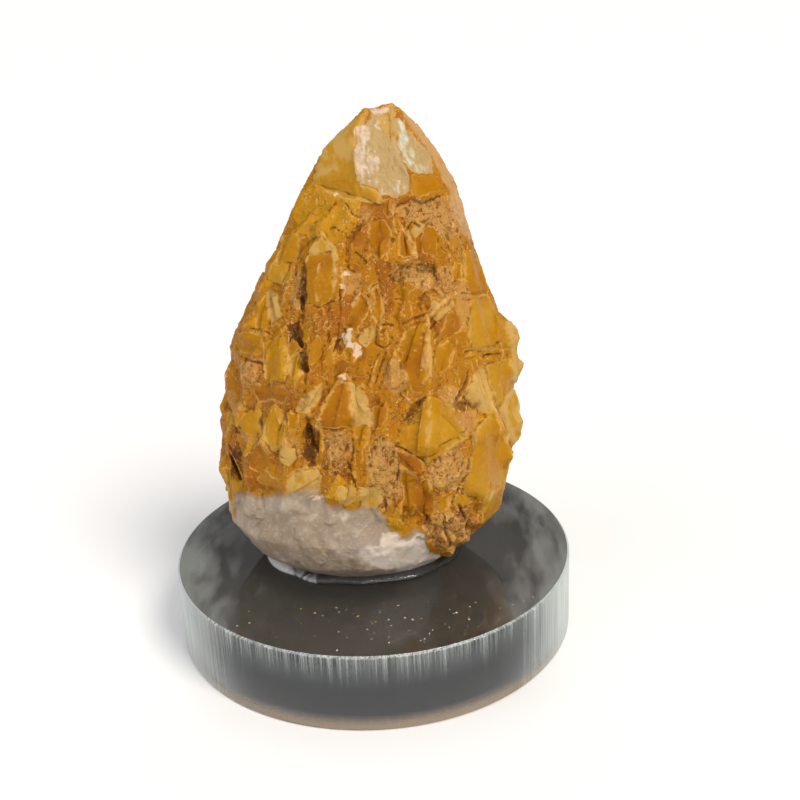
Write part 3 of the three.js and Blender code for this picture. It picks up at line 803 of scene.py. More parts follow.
SEAMS = walked("""
1.5/0.12 307,262 312,247 322,239
2.6/0.12 321,233 331,247 336,268 333,298
1.4/0.12 352,305 360,293 368,299 372,314 371,330
1.5/0.15 369,288 371,308 377,325
1.4/0.12 370,286 377,281 384,287
1.6/0.12 392,200 393,216 397,232
1.8/0.15 399,222 408,232 414,245 416,259
1.8/0.15 427,315 430,332 429,346 426,372
3.2/0.2 449,298 440,304 430,316
1.5/0.12 419,296 430,287 446,296
1.8/0.15 476,361 485,385 493,405 500,420 512,445
1.8/0.12 470,362 474,372 466,392
1.6/0.12 449,166 455,190 461,215 468,235
2/0.15 338,376 346,375 353,384 363,398 371,412 371,426
1.3/0.1 351,386 351,405 353,425
1.4/0.1 362,426 369,432 370,455
1.2/0.12 245,456 254,449 261,440
1.2/0.12 261,440 270,452 276,463
1.2/0.12 256,468 268,470 274,478
1.2/0.12 272,410 266,432 264,446
1.2/0.12 277,408 284,425 287,445
1.4/0.12 287,476 297,469 318,467
1.3/0.1 266,290 269,308 273,326
1.3/0.1 262,332 264,352 266,380
1.2/0.1 270,326 280,323 283,334
1.2/0.1 288,333 289,350 288,372
1.3/0.12 402,395 412,402 420,398 426,394
1.3/0.1 427,397 425,425 423,457
1.3/0.1 426,396 440,402 449,408
1.5/0.1 389,146 390,168 395,188
1.3/0.12 383,290 384,320 378,334
1.2/0.12 322,262 316,280 318,300
1.2/0.12 340,262 345,290 342,300
1.3/0.12 396,350 402,338 406,330
1.3/0.12 388,345 400,352 396,372
1.4/0.12 330,340 345,336 355,343
1.2/0.1 497,318 503,334 505,346 499,366 494,386
""")


NEAR_PIXELS = 40


def along_lines(rows):
    """How close each corner is to a line, about 1 on it and 0.5 at its edge, and the line's depth in mm."""
    closeness = np.zeros(count)
    depths = np.zeros(count)
    for head, line in rows:
        half_width, depth = (float(part) for part in head.split("/"))
        for start, end in zip(line, line[1:]):
            near_u = np.abs(u - (start[0] + end[0]) / 2) < NEAR_PIXELS
            near_v = np.abs(v - (start[1] + end[1]) / 2) < NEAR_PIXELS
            near = near_u & near_v
            gap = line_gap(u_edge[near], v_edge[near], start, end)
            close = np.clip(1 - gap / (2 * half_width), 0, 1) * (0.72 + 0.4 * depth)
            closeness[near] = np.maximum(closeness[near], close)
            depths[near] = np.maximum(depths[near], depth * smooth_step(0.3, 0.9, close))
    return closeness * seen_share, depths * seen_share


crack_line, crack_depth = along_lines(CRACKS)
seam_line, seam_height = along_lines(SEAMS)
print("line shares", round(float(crack_line.mean()), 4), round(float(seam_line.mean()), 4))

# %% Push the skin
# Each kind of detail moves the skin by its share in mm. The growth steps lie on the right flank.
STEP_MM = 1.0
worm_ridges = 1 - 2.2 * np.abs(fine)
crust_push = 0.08 * fine_push + 0.07 * worm_ridges + 0.04 * medium
face_push = 0.055 * coarse_push + 0.03 * fine_push + 0.03 * worm_ridges
milky_push = 0.08 * coarse_push + 0.03 * fine_push + 0.05 * medium + 0.02 * fine
steps = (height_mm + 0.3 * broad) / STEP_MM
flank_push = 0.03 * (2 * np.abs(steps - np.round(steps)) - 0.5)
push = face_push * (1 - rough) + crust_push * rough
push = push * (1 - milky) + milky_push * milky
push = push * (1 - sheer * 0.97) + 0.12 * broad_push * unseen * (1 - milky)
push += flank_push * flank
push += seam_height
push -= crack_depth * (0.75 + 0.5 * medium)
above_foot = smooth_step(10.4, 11.2, height_mm)
places += outward * (push * above_foot * MM)[:, None]
outward = set_skin()
print("largest push in mm", round(float(np.abs(push).max()), 3))

# %% Hollows and ridges
def hollow_by(rounds):
    """How far each corner lies under the smoothed skin: above 0 in a hollow, below 0 on a ridge, in mm."""
    return ((smoothed_places(rounds) - places) * outward).sum(axis=1) / MM


# The hollow mask is painted shade: the colour layers darken the skin where it lies in a hollow.
sharp_hollow = hollow_by(4)
wide_hollow = hollow_by(50)
hollow = np.maximum(smooth_step(0.01, 0.09, sharp_hollow), smooth_step(0.08, 0.45, wide_hollow) * 0.9)
# The ridge mask paints ridges paler: painted highlight, partly worn crust.
ridge = smooth_step(0.01, 0.09, -sharp_hollow)
print("hollow share", round(float((hollow > 0.5).mean()), 3), "ridge", round(float((ridge > 0.5).mean()), 3))

# %% Flat faces under the skin
flat_tones = np.array(flat_tones)
flat_middles = np.array(flat_middles)
flat_areas = np.array(flat_areas)
under = np.array([face_of[flat_tree.find_nearest(Vector(place))[2]] for place in places])
tone = np.clip(flat_tones[under] * 0.6 + coarse_tone * 0.4, 0, 1)
whole = 1 - smooth_step(8, 30, flat_areas[under] / MM**2)
middle_u, middle_v = photo_pixels(flat_middles[under])
face_like_u = middle_u * whole + u_rough * (1 - whole)
face_like_v = middle_v * whole + v_rough * (1 - whole)
print("tone mean", round(float(tone.mean()), 3))

# %% Patches of colour
# Where the photograph doesn't reach, brown, tan and yellow lie by noise, in patches of 7, 3 and 8 mm.
brown = patches(face_like_u, face_like_v, SPOTS["brown"]) * seen_share
brown = np.maximum(brown, unseen * 0.6 * smooth_step(0.1, 0.6, 0.6 * field(7 * MM, 5) + 0.4 * medium))
dark = patches(u, v, SPOTS["dark"], 0.3 * medium + 0.2 * fine) * seen_share
# Two tan patches low on the right paint lumps paler where they lie in shade: painted light there; elsewhere
# tan is the crust's own colour.
tan = patches(u_rough, v_rough, SPOTS["tan"]) * seen_share
tan = np.maximum(tan, unseen * 0.5 * smooth_step(0.45, 0.7, field(3 * MM, 7)))
blush_band = inside_by(u_rough, v_rough, SPOTS["blush_band"])
blush = smooth_step(-3, 3, blush_band) * (places[:, 1] < 5 * MM) * (height_mm > 48)
white = patches(u, v, SPOTS["white"], 0.35 * medium + 0.3 * fine) * seen_share
yellow = patches(face_like_u, face_like_v, SPOTS["yellow"]) * seen_share
yellow = np.maximum(yellow, patches(u_rough, v_rough, SPOTS["yellow_shoulder"]) * seen_share)
yellow = np.maximum(yellow, unseen * 0.8 * smooth_step(-0.3, 0.5, field(8 * MM, 6)))
# Painted light: foot_pale paints the right of the foot paler where it lies in shade.
foot_pale = patches(u_rough, v_rough, SPOTS["foot_pale"]) * milky
print("patches", {"brown": round(float(brown.mean()), 3), "dark": round(float(dark.mean()), 3)})

# %% The broken skin at the tip
# Two places where the skin has flaked off the tip show a pearly layer under it. Inside them, chalky white
# lies in patches: pinkish on the first and greenish on the second.
near_tip = (height_mm > 52) & (seen_share > 0.4)
pink_depth, green_depth = (inside_by(u_edge, v_edge, SPOTS[name]) for name in ("pink_flake", "green_flake"))
flake = np.clip(0.5 + np.maximum(pink_depth, green_depth) / (2 * EDGE_REACH), 0, 1) * near_tip
pink_chalk = patches(u, v, SPOTS["pink_chalk"]) * near_tip
green_chalk = patches(u, v, SPOTS["green_chalk"]) * near_tip
print("flaked corners", int((flake > 0.5).sum()))

# %% Keep the masks on the mesh
MASKS = dict(
    rough=rough, milky=milky, stain=stain, hollow=hollow, ridge=ridge, crack_line=crack_line,
    seam_line=seam_line, brown=brown, dark=dark, tan=tan, blush=blush, white=white, foot_pale=foot_pale,
    yellow=yellow, flake=flake, pink_chalk=pink_chalk, green_chalk=green_chalk, tone=tone,
    grain_tone=fine_tone, face=0.5 + face_depth / (2 * EDGE_REACH),
)
for name, values in MASKS.items():
    mask = dense_mesh.attributes.new(name, "FLOAT", "POINT")
    mask.data.foreach_set("value", np.clip(values, 0, 1).astype(np.float32))
print("masks", sorted(MASKS))

# %% Thin the mesh
# Flat faces don't need the fine grid, so the Decimate modifier spends the faces where the form turns. The
# very tip of a small point can come loose in the fresh skin, so only the largest island of faces is kept.
MOST_TRIANGLES = 190000
kept_share = min(1.0, MOST_TRIANGLES / (2 * len(dense_mesh.polygons)))
stone_mesh = modified(dense_mesh, "DECIMATE", ratio=kept_share)
stone_mesh.name = "quartz_stone"
stone_form = bmesh.new()
stone_form.from_mesh(stone_mesh)
islands = sorted(face_groups(stone_form, lambda face, other: True)[0], key=len)
crumbs = [face for island in islands[:-1] for face in island]
bmesh.ops.delete(stone_form, geom=crumbs, context="FACES")
stone_form.to_mesh(stone_mesh)
stone_form.free()
print("loose faces taken away", len(crumbs))
stone_mesh.shade_smooth()
stone = link_object("quartz_stone", stone_mesh)
print("stone", len(stone_mesh.polygons), "faces")

# %% [markdown]
# ## Iron-stained quartz
# Quartz is glassy, IOR about 1.55, and milky inside, so light sinks in and softens: that is the subsurface
# part. Iron oxide stains it from ochre to dark brown, face by face, and a dull crust covers the rough parts
# in worm-like ridges half a millimetre wide. Thin pale lines run along the ridges: partly where the crust has
# worn off, partly painted highlight. Hollows are darkened with painted shade, and the faces' rims get painted
# highlight and shade.

# %% Quartz material: coordinates, masks and patterns
# A pattern's row holds its real size on the stone in mm, its detail and its distortion. The threads and the
# faces' rims are thin curves where a source passes its middle value, as wide as their row says. The threads
# look like the crust's worm-like ridges.
QUARTZ_IOR = 1.55
PATTERNS = {
    "cloudy": (4.0, 3.0, 0.6),
    "patchy": (1.7, 3.0, 0.5),
    "mottled": (2.3, 2.0, 1.0),
    "speckle": (0.45, 3.0, 0.4),
    "pale_threads": (1.3, 1.5, 1.4),
    "dark_threads": (1.7, 2.0, 1.8),
}
CURVES = {"pale_threads": ("pale_threads", 0.1), "dark_threads": ("dark_threads", 0.1), "rim": ("face", 0.14)}
quartz_paint, tree = new_material("iron_stained_quartz")
where = add(tree, "ShaderNodeTexCoord").outputs["Object"]
sources = {}
for name in MASKS:
    sources[name] = add(tree, "ShaderNodeAttribute", attribute_name=name).outputs["Fac"]
for name, (size_mm, detail, distortion) in PATTERNS.items():
    look = {"Vector": where, "Scale": 1 / (size_mm * MM), "Detail": detail, "Distortion": distortion}
    cloud = add(tree, "ShaderNodeTexNoise", look)
    sources[name] = add(tree, "ShaderNodeMapRange", {"Value": cloud, "From Min": 0.3, "From Max": 0.7})
for name, (source, width) in CURVES.items():
    off_middle = add(tree, "ShaderNodeMath", {0: sources[source], 1: 0.5}, operation="SUBTRACT")
    away = add(tree, "ShaderNodeMath", {0: off_middle}, operation="ABSOLUTE")
    fading = {"Value": away, "From Max": width, "To Min": 1.0, "To Max": 0.0}
    sources[name] = add(tree, "ShaderNodeMapRange", fading)
upright = {"Vector": where, "Rotation": (0, 0.12, 0), "Scale": (1900, 1900, 600)}
streak_map = add(tree, "ShaderNodeMapping", upright)
streak_noise = add(tree, "ShaderNodeTexNoise", {"Vector": streak_map, "Scale": 1.0, "Detail": 3.0})
streak_range = {"Value": streak_noise, "From Min": 0.35, "From Max": 0.65}
sources["streaks"] = add(tree, "ShaderNodeMapRange", streak_range)
print("quartz masks and patterns", len(sources))

# %% Quartz material: colours
# Each layer is laid over those before it where a mask plus a share of a pattern passes from low to high, so
# its edges are as ragged as the pattern. A row holds the mask, the pattern, its share, low, high, the
# strength and the colour.
CRUST_LAYERS = [
    ("yellow", "patchy", 0.6, 0.55, 0.75, 0.85, "#C28C14"),
    ("brown", "patchy", 0.6, 0.50, 0.75, 0.80, "#9E5A0E"),
    ("tan", "patchy", 0.6, 0.50, 0.80, 0.85, "#C08C48"),
    ("grain_tone", "speckle", 0.4, 0.60, 1.20, 0.30, "#88540E"),
    ("rough", "pale_threads", 1.0, 0.85, 1.40, 0.85, "#DAAC68"),
    ("rough", "dark_threads", 1.0, 0.90, 1.50, 0.62, "#744012"),
    # Painted shade in the hollows.
    ("hollow", "speckle", 0.6, 0.60, 1.10, 0.68, "#74440F"),
    # Painted highlight on the ridges, partly where the crust has worn off.
    ("ridge", "speckle", 0.6, 0.80, 1.25, 0.50, "#D2A050"),
]
LINE_LAYERS = [
    ("face", "speckle", 0.5, 1.20, 1.50, 0.22, "#D2A45A"),
    # Painted highlight and painted shade along the faces' rims: pale in some stretches, dark in others, laid
    # by noise.
    ("rim", "mottled", 1.0, 0.95, 1.50, 0.65, "#D6A658"),
    ("rim", "patchy", -1.0, 0.30, 0.75, 0.45, "#744412"),
    # Painted shade in the hollows.
    ("hollow", "speckle", 0.4, 0.75, 1.30, 0.40, "#7A4812"),
    ("seam_line", "patchy", 0.7, 0.80, 1.20, 0.75, "#D6AA66"),
    ("crack_line", "patchy", 0.9, 0.95, 1.45, 0.70, "#5A3210"),
    ("dark", "speckle", 1.2, 1.20, 1.70, 0.55, "#683A10"),
    ("dark", "pale_threads", -0.8, 0.30, 0.90, 0.65, "#44240A"),
    ("blush", "patchy", 0.6, 0.62, 1.25, 0.75, "#C69E70"),
    ("milky", "speckle", 0.2, 0.35, 1.00, 1.00, "#A08C76"),
    ("milky", "cloudy", 0.6, 1.15, 1.55, 0.60, "#BFAF9E"),
    ("milky", "mottled", 0.6, 1.35, 1.65, 0.20, "#94826C"),
    # Painted light on the shaded right of the foot.
    ("foot_pale", "mottled", 0.5, 0.60, 1.15, 0.95, "#E6D8CA"),
    ("milky", "speckle", 0.7, 1.35, 1.70, 0.30, "#D4C8BA"),
    ("white", "speckle", 0.9, 0.95, 1.35, 0.85, "#DEC6AA"),
    ("flake", "speckle", 0.1, 0.50, 0.60, 1.00, "#BA9B68"),
    ("pink_chalk", "streaks", 0.9, 0.95, 1.65, 0.80, "#E0CAB8"),
    ("green_chalk", "streaks", 0.9, 0.90, 1.70, 0.75, "#D6DBCA"),
]
PANE_COLOURS = (
    (0.0, "#844808"),
    (0.34, "#A06206"),
    (0.56, "#AA7006"),
    (0.78, "#B27C0A"),
    (0.95, "#B88820"),
    (1.0, "#C09850"),
)


def lay(tree, sources, colour, layers):
    """Lays the layers of a table over a colour, one by one."""
    for mask_name, pattern_name, share, low, high, strength, code in layers:
        joined = {0: sources[pattern_name], 1: share, 2: sources[mask_name]}
        passing = add(tree, "ShaderNodeMath", joined, operation="MULTIPLY_ADD")
        reach = {"Value": passing, "From Min": low, "From Max": high, "To Max": strength}
        over = {0: add(tree, "ShaderNodeMapRange", reach), 6: colour, 7: linear(code)}
        colour = add(tree, "ShaderNodeMix", over, data_type="RGBA").outputs[2]
    return colour


toned = {0: sources["tone"], 6: linear("#B87C08"), 7: linear("#A66A0C")}
ground = add(tree, "ShaderNodeMix", toned, data_type="RGBA").outputs[2]
crust = lay(tree, sources, ground, CRUST_LAYERS)
clouded = {0: sources["cloudy"], 1: 0.32, 2: sources["stain"]}
pane_stain = add(tree, "ShaderNodeMath", clouded, operation="MULTIPLY_ADD")
pane = add(tree, "ShaderNodeValToRGB", {"Fac": pane_stain})
stops = pane.color_ramp.elements
while len(stops) < len(PANE_COLOURS):
    stops.new(0.5)
for stop, (position, code) in zip(stops, PANE_COLOURS):
    stop.position = position
    stop.color = linear(code)
face_share = add(tree, "ShaderNodeMapRange", {"Value": sources["face"], "From Min": 0.44, "From Max": 0.58})
colour = add(tree, "ShaderNodeMix", {0: face_share, 6: crust, 7: pane}, data_type="RGBA").outputs[2]
colour = lay(tree, sources, colour, LINE_LAYERS)
print("quartz colours ready")

# %% Quartz material: shine and relief
# The faces are satin. The film of iron and dust on the stone scatters most of its mirror shine, so the
# reflection is set low.
QUARTZ_ROUGHNESS = 0.38
QUARTZ_REFLECTION = 0.10
threads = {0: sources["pale_threads"], 1: sources["rough"]}
thread_height = add(tree, "ShaderNodeMath", threads, operation="MULTIPLY")
grains = {0: sources["speckle"], 1: 0.3, 2: thread_height}
grain_height = add(tree, "ShaderNodeMath", grains, operation="MULTIPLY_ADD")
streaks = {0: sources["streaks"], 1: sources["flake"]}
streak_height = add(tree, "ShaderNodeMath", streaks, operation="MULTIPLY")
heights = add(tree, "ShaderNodeMath", {0: streak_height, 1: 0.8, 2: grain_height}, operation="MULTIPLY_ADD")
relief = add(tree, "ShaderNodeBump", {"Height": heights, "Strength": 0.8, "Distance": 0.16 * MM})
quartz_look = {
    "Base Color": colour,
    "Roughness": QUARTZ_ROUGHNESS,
    "Normal": relief,
    "IOR": QUARTZ_IOR,
    "Specular IOR Level": QUARTZ_REFLECTION,
    "Subsurface Weight": 0.2,
    "Subsurface Radius": (1.0, 0.55, 0.2),
    "Subsurface Scale": 0.8 * MM,
}
shade = add(tree, "ShaderNodeBsdfPrincipled", quartz_look)
add(tree, "ShaderNodeOutputMaterial", {"Surface": shade})
stone_mesh.materials.clear()
stone_mesh.materials.append(quartz_paint)
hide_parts("quartz_crystal")
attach(stone, "root")
print("quartz stone finished")

# %% [markdown]
# ## The clear disc
# The stand is a disc of cast acrylic, 50 mm across and 10 mm thick. Its faces are polished, and its rim was
# sawn, which left fine upright marks that are strongest near the top edge. One profile is spun round the
# axis. Clear acrylic has an IOR of 1.49. The real disc stands on something dark, so it looks smoke-grey from
# above: here a faint grey absorption inside the disc gives the same look on a pale floor.

# %% Spin the disc
DISC_RADIUS = 25 * MM
DISC_HEIGHT = 10 * MM
EDGE_BREAK = 0.25 * MM
disc_form = bmesh.new()
profile = [
    (0, 0),
    (DISC_RADIUS - EDGE_BREAK, 0),
    (DISC_RADIUS, EDGE_BREAK),
    (DISC_RADIUS, DISC_HEIGHT - EDGE_BREAK),
    (DISC_RADIUS - EDGE_BREAK, DISC_HEIGHT),
    (0, DISC_HEIGHT),
]
profile_corners = [disc_form.verts.new((x, 0, z)) for x, z in profile]
profile_edges = [disc_form.edges.new(ends) for ends in zip(profile_corners, profile_corners[1:])]
bmesh.ops.spin(
    disc_form, geom=profile_corners + profile_edges, cent=(0, 0, 0), axis=(0, 0, 1),
    angle=math.tau, steps=192, use_merge=True,
)
bmesh.ops.remove_doubles(disc_form, verts=disc_form.verts, dist=0.001 * MM)
bmesh.ops.recalc_face_normals(disc_form, faces=disc_form.faces)
for face in disc_form.faces:
    face.material_index = 1 if abs(face.normal.z) < 0.9 else 0
    face.smooth = abs(face.normal.z) < 0.1
disc_mesh = mesh_from(disc_form, "acrylic_disc")
disc = link_object("acrylic_disc", disc_mesh)
print("disc", [round(v / MM, 2) for v in disc.dimensions], "mm")

# %% Cast acrylic, polished
# A pale, greenish painted reflection lies on the top toward the left and right, where the top is also rougher
# and less clear. Long thin scratches cross it.
ACRYLIC_IOR = 1.49
SMOKE = {"Color": linear("#A8A7A2"), "Density": 135.0}
polished, tree = new_material("cast_acrylic_polished")
where = add(tree, "ShaderNodeTexCoord").outputs["Object"]
part = add(tree, "ShaderNodeSeparateXYZ", {"Vector": where})
off_middle = add(tree, "ShaderNodeMath", {0: part.outputs["X"]}, operation="ABSOLUTE")
side_range = {"Value": off_middle, "From Min": 10 * MM, "From Max": 21 * MM}
toward_side = add(tree, "ShaderNodeMapRange", side_range)
from_axis = add(tree, "ShaderNodeVectorMath", {0: where}, operation="LENGTH").outputs["Value"]
rim_range = {"Value": from_axis, "From Min": 18 * MM, "From Max": 26 * MM}
toward_rim = add(tree, "ShaderNodeMapRange", rim_range)
crescent = add(tree, "ShaderNodeMath", {0: toward_side, 1: toward_rim}, operation="MULTIPLY")
reflection_stretch = {"Vector": where, "Rotation": (0, 0, -0.6), "Scale": (1.0, 0.3, 1.0)}
reflection_map = add(tree, "ShaderNodeMapping", reflection_stretch)
reflection_look = {"Vector": reflection_map, "Scale": 1 / (2.2 * MM), "Detail": 5.0, "Distortion": 0.1}
reflection_noise = add(tree, "ShaderNodeTexNoise", reflection_look)
reflection_sum = add(tree, "ShaderNodeMath", {0: crescent, 1: 0.32, 2: reflection_noise}, operation="MULTIPLY_ADD")
reflection_range = {"Value": reflection_sum, "From Min": 0.55, "From Max": 0.9, "To Max": 0.5}
reflection_all = add(tree, "ShaderNodeMapRange", reflection_range)
painted_reflection = add(tree, "ShaderNodeMath", {0: reflection_all, 1: toward_side}, operation="MULTIPLY")
drawn_out = {"Vector": where, "Rotation": (0, 0, 0.5), "Scale": (40, 1600, 1)}
scratch_map = add(tree, "ShaderNodeMapping", drawn_out)
scratches = add(tree, "ShaderNodeTexNoise", {"Vector": scratch_map, "Scale": 1.0, "Detail": 2.0})
scratch_range = {"Value": scratches, "From Min": 0.66, "From Max": 0.74, "To Max": 0.16}
scratch = add(tree, "ShaderNodeMapRange", scratch_range)
haze = add(tree, "ShaderNodeMath", {0: painted_reflection, 1: 0.3, 2: scratch}, operation="MULTIPLY_ADD")
see_through = add(tree, "ShaderNodeMapRange", {"Value": painted_reflection, "To Min": 0.97, "To Max": 0.35})
# Painted reflection: pale and greenish toward the left and right of the top.
tinted = {0: painted_reflection, 6: linear("#DCD9D4"), 7: linear("#A6B8B3")}
reflection_colour = add(tree, "ShaderNodeMix", tinted, data_type="RGBA").outputs[2]
polished_look = {
    "Base Color": reflection_colour,
    "Roughness": haze,
    "Transmission Weight": see_through,
    "IOR": ACRYLIC_IOR,
    "Specular IOR Level": 0.5,
}
shade = add(tree, "ShaderNodeBsdfPrincipled", polished_look)
smoke = add(tree, "ShaderNodeVolumeAbsorption", SMOKE)
add(tree, "ShaderNodeOutputMaterial", {"Surface": shade, "Volume": smoke})
print("polished acrylic ready")

# %% Cast acrylic, sawn
# The saw marks are fine upright strokes, about 0.3 mm apart, that start at the top edge and fade downward.
# The rim is painted with reflections: pale green toward the left and right, and a warm strip along its foot,
# where it is also rougher and less clear. A painted highlight runs along its top edge. Each source of its
# layers is a pattern or a height, with the two values between which it rises from 0 to 1.
RIM_LAYERS = [
    ("comb", "fade", 1.0, 0.85, 1.75, 0.45, "#D3D9D6"),
    # Painted reflections: the warm strip along the foot and the pale green toward the sides. The edge row is
    # a painted highlight along the top edge.
    ("warm_strip", "comb", 0.3, 0.25, 0.90, 0.85, "#BCA68C"),
    ("toward_side", "comb", 0.4, 0.45, 1.20, 0.95, "#E6F0EC"),
    ("edge", "comb", 0.3, 0.60, 1.00, 0.80, "#E4E8E6"),
]
sawn, tree = new_material("cast_acrylic_sawn")
where = add(tree, "ShaderNodeTexCoord").outputs["Object"]
saw_map = add(tree, "ShaderNodeMapping", {"Vector": where, "Scale": (4200, 4200, 60)})
saw_lines = add(tree, "ShaderNodeTexNoise", {"Vector": saw_map, "Scale": 1.0, "Detail": 2.0})
part = add(tree, "ShaderNodeSeparateXYZ", {"Vector": where})
off_middle = add(tree, "ShaderNodeMath", {0: part.outputs["X"]}, operation="ABSOLUTE")
RIM_RANGES = {
    "comb": (saw_lines, 0.3, 0.7),
    "fade": (part.outputs["Z"], 5.8 * MM, 10 * MM),
    "warm_strip": (part.outputs["Z"], 2.3 * MM, 0.5 * MM),
    "toward_side": (off_middle, 14 * MM, 23.5 * MM),
    "edge": (part.outputs["Z"], 9.5 * MM, 9.9 * MM),
}
rim_sources = {}
for name, (source, low, high) in RIM_RANGES.items():
    rise = {"Value": source, "From Min": low, "From Max": high}
    rim_sources[name] = add(tree, "ShaderNodeMapRange", rise)
greyed = {0: rim_sources["fade"], 6: linear("#74797C"), 7: linear("#8E9496")}
clear_rim = add(tree, "ShaderNodeMix", greyed, data_type="RGBA").outputs[2]
rim_colour = lay(tree, rim_sources, clear_rim, RIM_LAYERS)
marks = {0: rim_sources["comb"], 1: rim_sources["fade"]}
frosted = add(tree, "ShaderNodeMath", marks, operation="MULTIPLY")
at_side = add(tree, "ShaderNodeMath", {0: frosted, 1: rim_sources["toward_side"]}, operation="MAXIMUM")
frost_and_glow = add(tree, "ShaderNodeMath", {0: at_side, 1: rim_sources["warm_strip"]}, operation="MAXIMUM")
saw_shine = add(tree, "ShaderNodeMapRange", {"Value": frost_and_glow, "To Min": 0.08, "To Max": 0.4})
clearness = add(tree, "ShaderNodeMapRange", {"Value": frost_and_glow, "To Min": 0.78, "To Max": 0.30})
saw_relief = add(tree, "ShaderNodeBump", {"Height": frosted, "Strength": 0.4, "Distance": 0.12 * MM})
sawn_look = {
    "Base Color": rim_colour,
    "Roughness": saw_shine,
    "Transmission Weight": clearness,
    "Normal": saw_relief,
    "IOR": ACRYLIC_IOR,
}
shade = add(tree, "ShaderNodeBsdfPrincipled", sawn_look)
smoke = add(tree, "ShaderNodeVolumeAbsorption", SMOKE)
add(tree, "ShaderNodeOutputMaterial", {"Surface": shade, "Volume": smoke})
disc_mesh.materials.append(polished)
disc_mesh.materials.append(sawn)
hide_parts("acrylic_base")
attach(disc, "root")
print("disc finished")

# %% [markdown]
# ## The glue
# The stone sits in a pool of clear adhesive that squeezed out around its foot: milky white on the left,
# where air is trapped in it, and clear as glass with a bright rounded edge on the right. Its outline follows
# the stone's own foot, a little wider. It is raised in a few rings that round over, and rippled by noise.

# %% Pool of glue
# A ring's row holds how far it lies outside the pool's edge and its height, both in mm.
GLUE_RINGS = ((-0.10, 10.0), (0.10, 10.08), (0.12, 10.3), (-0.10, 10.55), (-0.65, 10.8), (-1.3, 10.9))
GLUE_BESIDE = 0.55 * MM
GLUE_RIPPLE = 0.7 * MM
AROUND = 180
FOOT_END_MM = 10.9
REACH_WINDOW = 0.1
foot_corners = places[height_mm < FOOT_END_MM]
bead_middle = (foot_corners.min(axis=0) + foot_corners.max(axis=0)) / 2
bead_angles = np.arctan2(foot_corners[:, 1] - bead_middle[1], foot_corners[:, 0] - bead_middle[0])
bead_reach = np.hypot(foot_corners[:, 0] - bead_middle[0], foot_corners[:, 1] - bead_middle[1])


def bead_edge(angle):
    """The glue's outer reach in this direction, a little more than the stone's own foot there."""
    gap = np.abs((bead_angles - angle + math.pi) % math.tau - math.pi)
    return bead_reach[gap < REACH_WINDOW].max() + GLUE_BESIDE


def round_angle(corner):
    return math.atan2(corner.co.y, corner.co.x)


glue_form = bmesh.new()
ring = bmesh.ops.create_circle(glue_form, segments=AROUND, radius=1.0)["verts"]
rings = [sorted(ring, key=round_angle)]
angles = [round_angle(corner) for corner in rings[0]]
edge_reach = [bead_edge(angle) for angle in angles]
reaches = [sum(edge_reach[(i + k) % AROUND] for k in range(-3, 4)) / 7 for i in range(AROUND)]
ripples = [noise.noise(Vector((math.cos(a) * 2.2, math.sin(a) * 2.2, 4.0))) * GLUE_RIPPLE for a in angles]
for _ in GLUE_RINGS[1:]:
    edges = [e for e in glue_form.edges if all(v in rings[-1] for v in e.verts)]
    grown = bmesh.ops.extrude_edge_only(glue_form, edges=edges)["geom"]
    rings.append(sorted((g for g in grown if isinstance(g, bmesh.types.BMVert)), key=round_angle))
for (offset, level), corner_ring in zip(GLUE_RINGS, rings):
    for corner, angle, reach, ripple in zip(corner_ring, angles, reaches, ripples):
        out = reach + offset * MM + ripple
        x = bead_middle[0] + out * math.cos(angle)
        y = bead_middle[1] + out * math.sin(angle)
        corner.co = (x, y, level * MM)
glue_form.faces.new(rings[0])
glue_form.faces.new(rings[-1])
bmesh.ops.recalc_face_normals(glue_form, faces=glue_form.faces)
for face in glue_form.faces:
    face.smooth = len(face.verts) == 4
glue_mesh = mesh_from(glue_form, "glue_pool")
glue = link_object("glue_pool", glue_mesh)
print("glue", [round(v / MM, 2) for v in glue.dimensions], "mm")

# %% Set adhesive
# The adhesive turns from milky to clear between 7.5 and 3.5 mm left of the middle, along a foamy edge.
glue_paint, tree = new_material("set_clear_adhesive")
where = add(tree, "ShaderNodeTexCoord").outputs["Object"]
side = add(tree, "ShaderNodeSeparateXYZ", {"Vector": where}).outputs["X"]
foam_look = {"Vector": where, "Scale": 1 / (1.6 * MM), "Detail": 3.0, "Distortion": 0.8}
foamy = add(tree, "ShaderNodeTexNoise", foam_look)
foam_edge = add(tree, "ShaderNodeMath", {0: foamy, 1: 8 * MM, 2: side}, operation="MULTIPLY_ADD")
clear_range = {"Value": foam_edge, "From Min": -7.5 * MM, "From Max": -3.5 * MM}
clear_share = add(tree, "ShaderNodeMapRange", clear_range)
glue_clearness = add(tree, "ShaderNodeMapRange", {"Value": clear_share, "To Min": 0.1, "To Max": 0.94})
whitened = {0: clear_share, 6: linear("#EFEFEE"), 7: linear("#DCDDDB")}
glue_colour = add(tree, "ShaderNodeMix", whitened, data_type="RGBA").outputs[2]
glue_relief = add(tree, "ShaderNodeBump", {"Height": foamy, "Strength": 0.5, "Distance": 0.3 * MM})
glue_look = {
    "Base Color": glue_colour,
    "Transmission Weight": glue_clearness,
    "Normal": glue_relief,
    "Roughness": 0.12,
    "IOR": 1.5,
}
shade = add(tree, "ShaderNodeBsdfPrincipled", glue_look)
add(tree, "ShaderNodeOutputMaterial", {"Surface": shade})
glue_mesh.materials.append(glue_paint)
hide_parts("glue_bead")
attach(glue, "root")
print("glue finished")

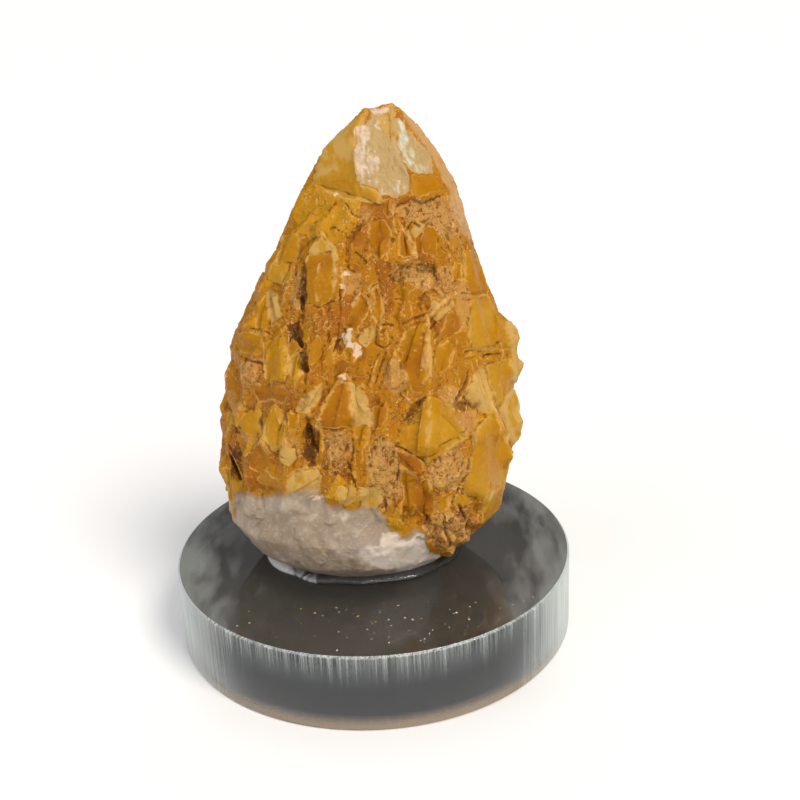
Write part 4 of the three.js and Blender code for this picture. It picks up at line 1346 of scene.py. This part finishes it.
# %% [markdown]
# ## Grit on the disc
# Crumbs of ochre crust and quartz dust lie on the disc in front of the stone. Each is a tiny rough lump, so
# a once-divided icosphere, squashed and dented by seeded chance, is enough. All are joined in one mesh.

# %% Scatter the grit
GRIT_COUNT = 150
GRIT_REACH = 24 * MM
GRIT_FRONT = -13.5 * MM
GRIT_LEFT = -6 * MM
grit_form = bmesh.new()
grit_chance = random.Random(5)
kept = 0
while kept < GRIT_COUNT:
    angle = grit_chance.uniform(0, math.tau)
    reach = GRIT_REACH * math.sqrt(grit_chance.random())
    x = reach * math.cos(angle)
    y = reach * math.sin(angle)
    if y > GRIT_FRONT or (x < GRIT_LEFT and grit_chance.random() < 0.7):
        continue
    size = (0.04 + 0.11 * grit_chance.random() ** 3) * MM
    before = set(grit_form.verts)
    bmesh.ops.create_icosphere(grit_form, subdivisions=1, radius=size)
    crumb = [v for v in grit_form.verts if v not in before]
    for corner in crumb:
        corner.co *= grit_chance.uniform(0.7, 1.2)
    bmesh.ops.scale(grit_form, verts=crumb, vec=(1.0, grit_chance.uniform(0.6, 1.0), 0.6))
    bmesh.ops.translate(grit_form, verts=crumb, vec=(x, y, DISC_HEIGHT + size * 0.45))
    kept += 1
grit_mesh = mesh_from(grit_form, "ochre_grit")
grit = link_object("ochre_grit", grit_mesh)
grit_paint, tree = new_material("crumbs_of_crust")
where = add(tree, "ShaderNodeTexCoord").outputs["Object"]
grit_noise = add(tree, "ShaderNodeTexNoise", {"Vector": where, "Scale": 1 / (1.3 * MM), "Detail": 1.0})
grit_share = add(tree, "ShaderNodeMapRange", {"Value": grit_noise, "From Min": 0.42, "From Max": 0.58})
crumbly = {0: grit_share, 6: linear("#B9914A"), 7: linear("#D9D2C4")}
grit_colour = add(tree, "ShaderNodeMix", crumbly, data_type="RGBA").outputs[2]
shade = add(tree, "ShaderNodeBsdfPrincipled", {"Base Color": grit_colour, "Roughness": 0.7})
add(tree, "ShaderNodeOutputMaterial", {"Surface": shade})
grit_mesh.materials.append(grit_paint)
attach(grit, "root")
print("grit", len(grit_mesh.polygons), "faces")

# %% Finish
bpy.context.view_layer.update()
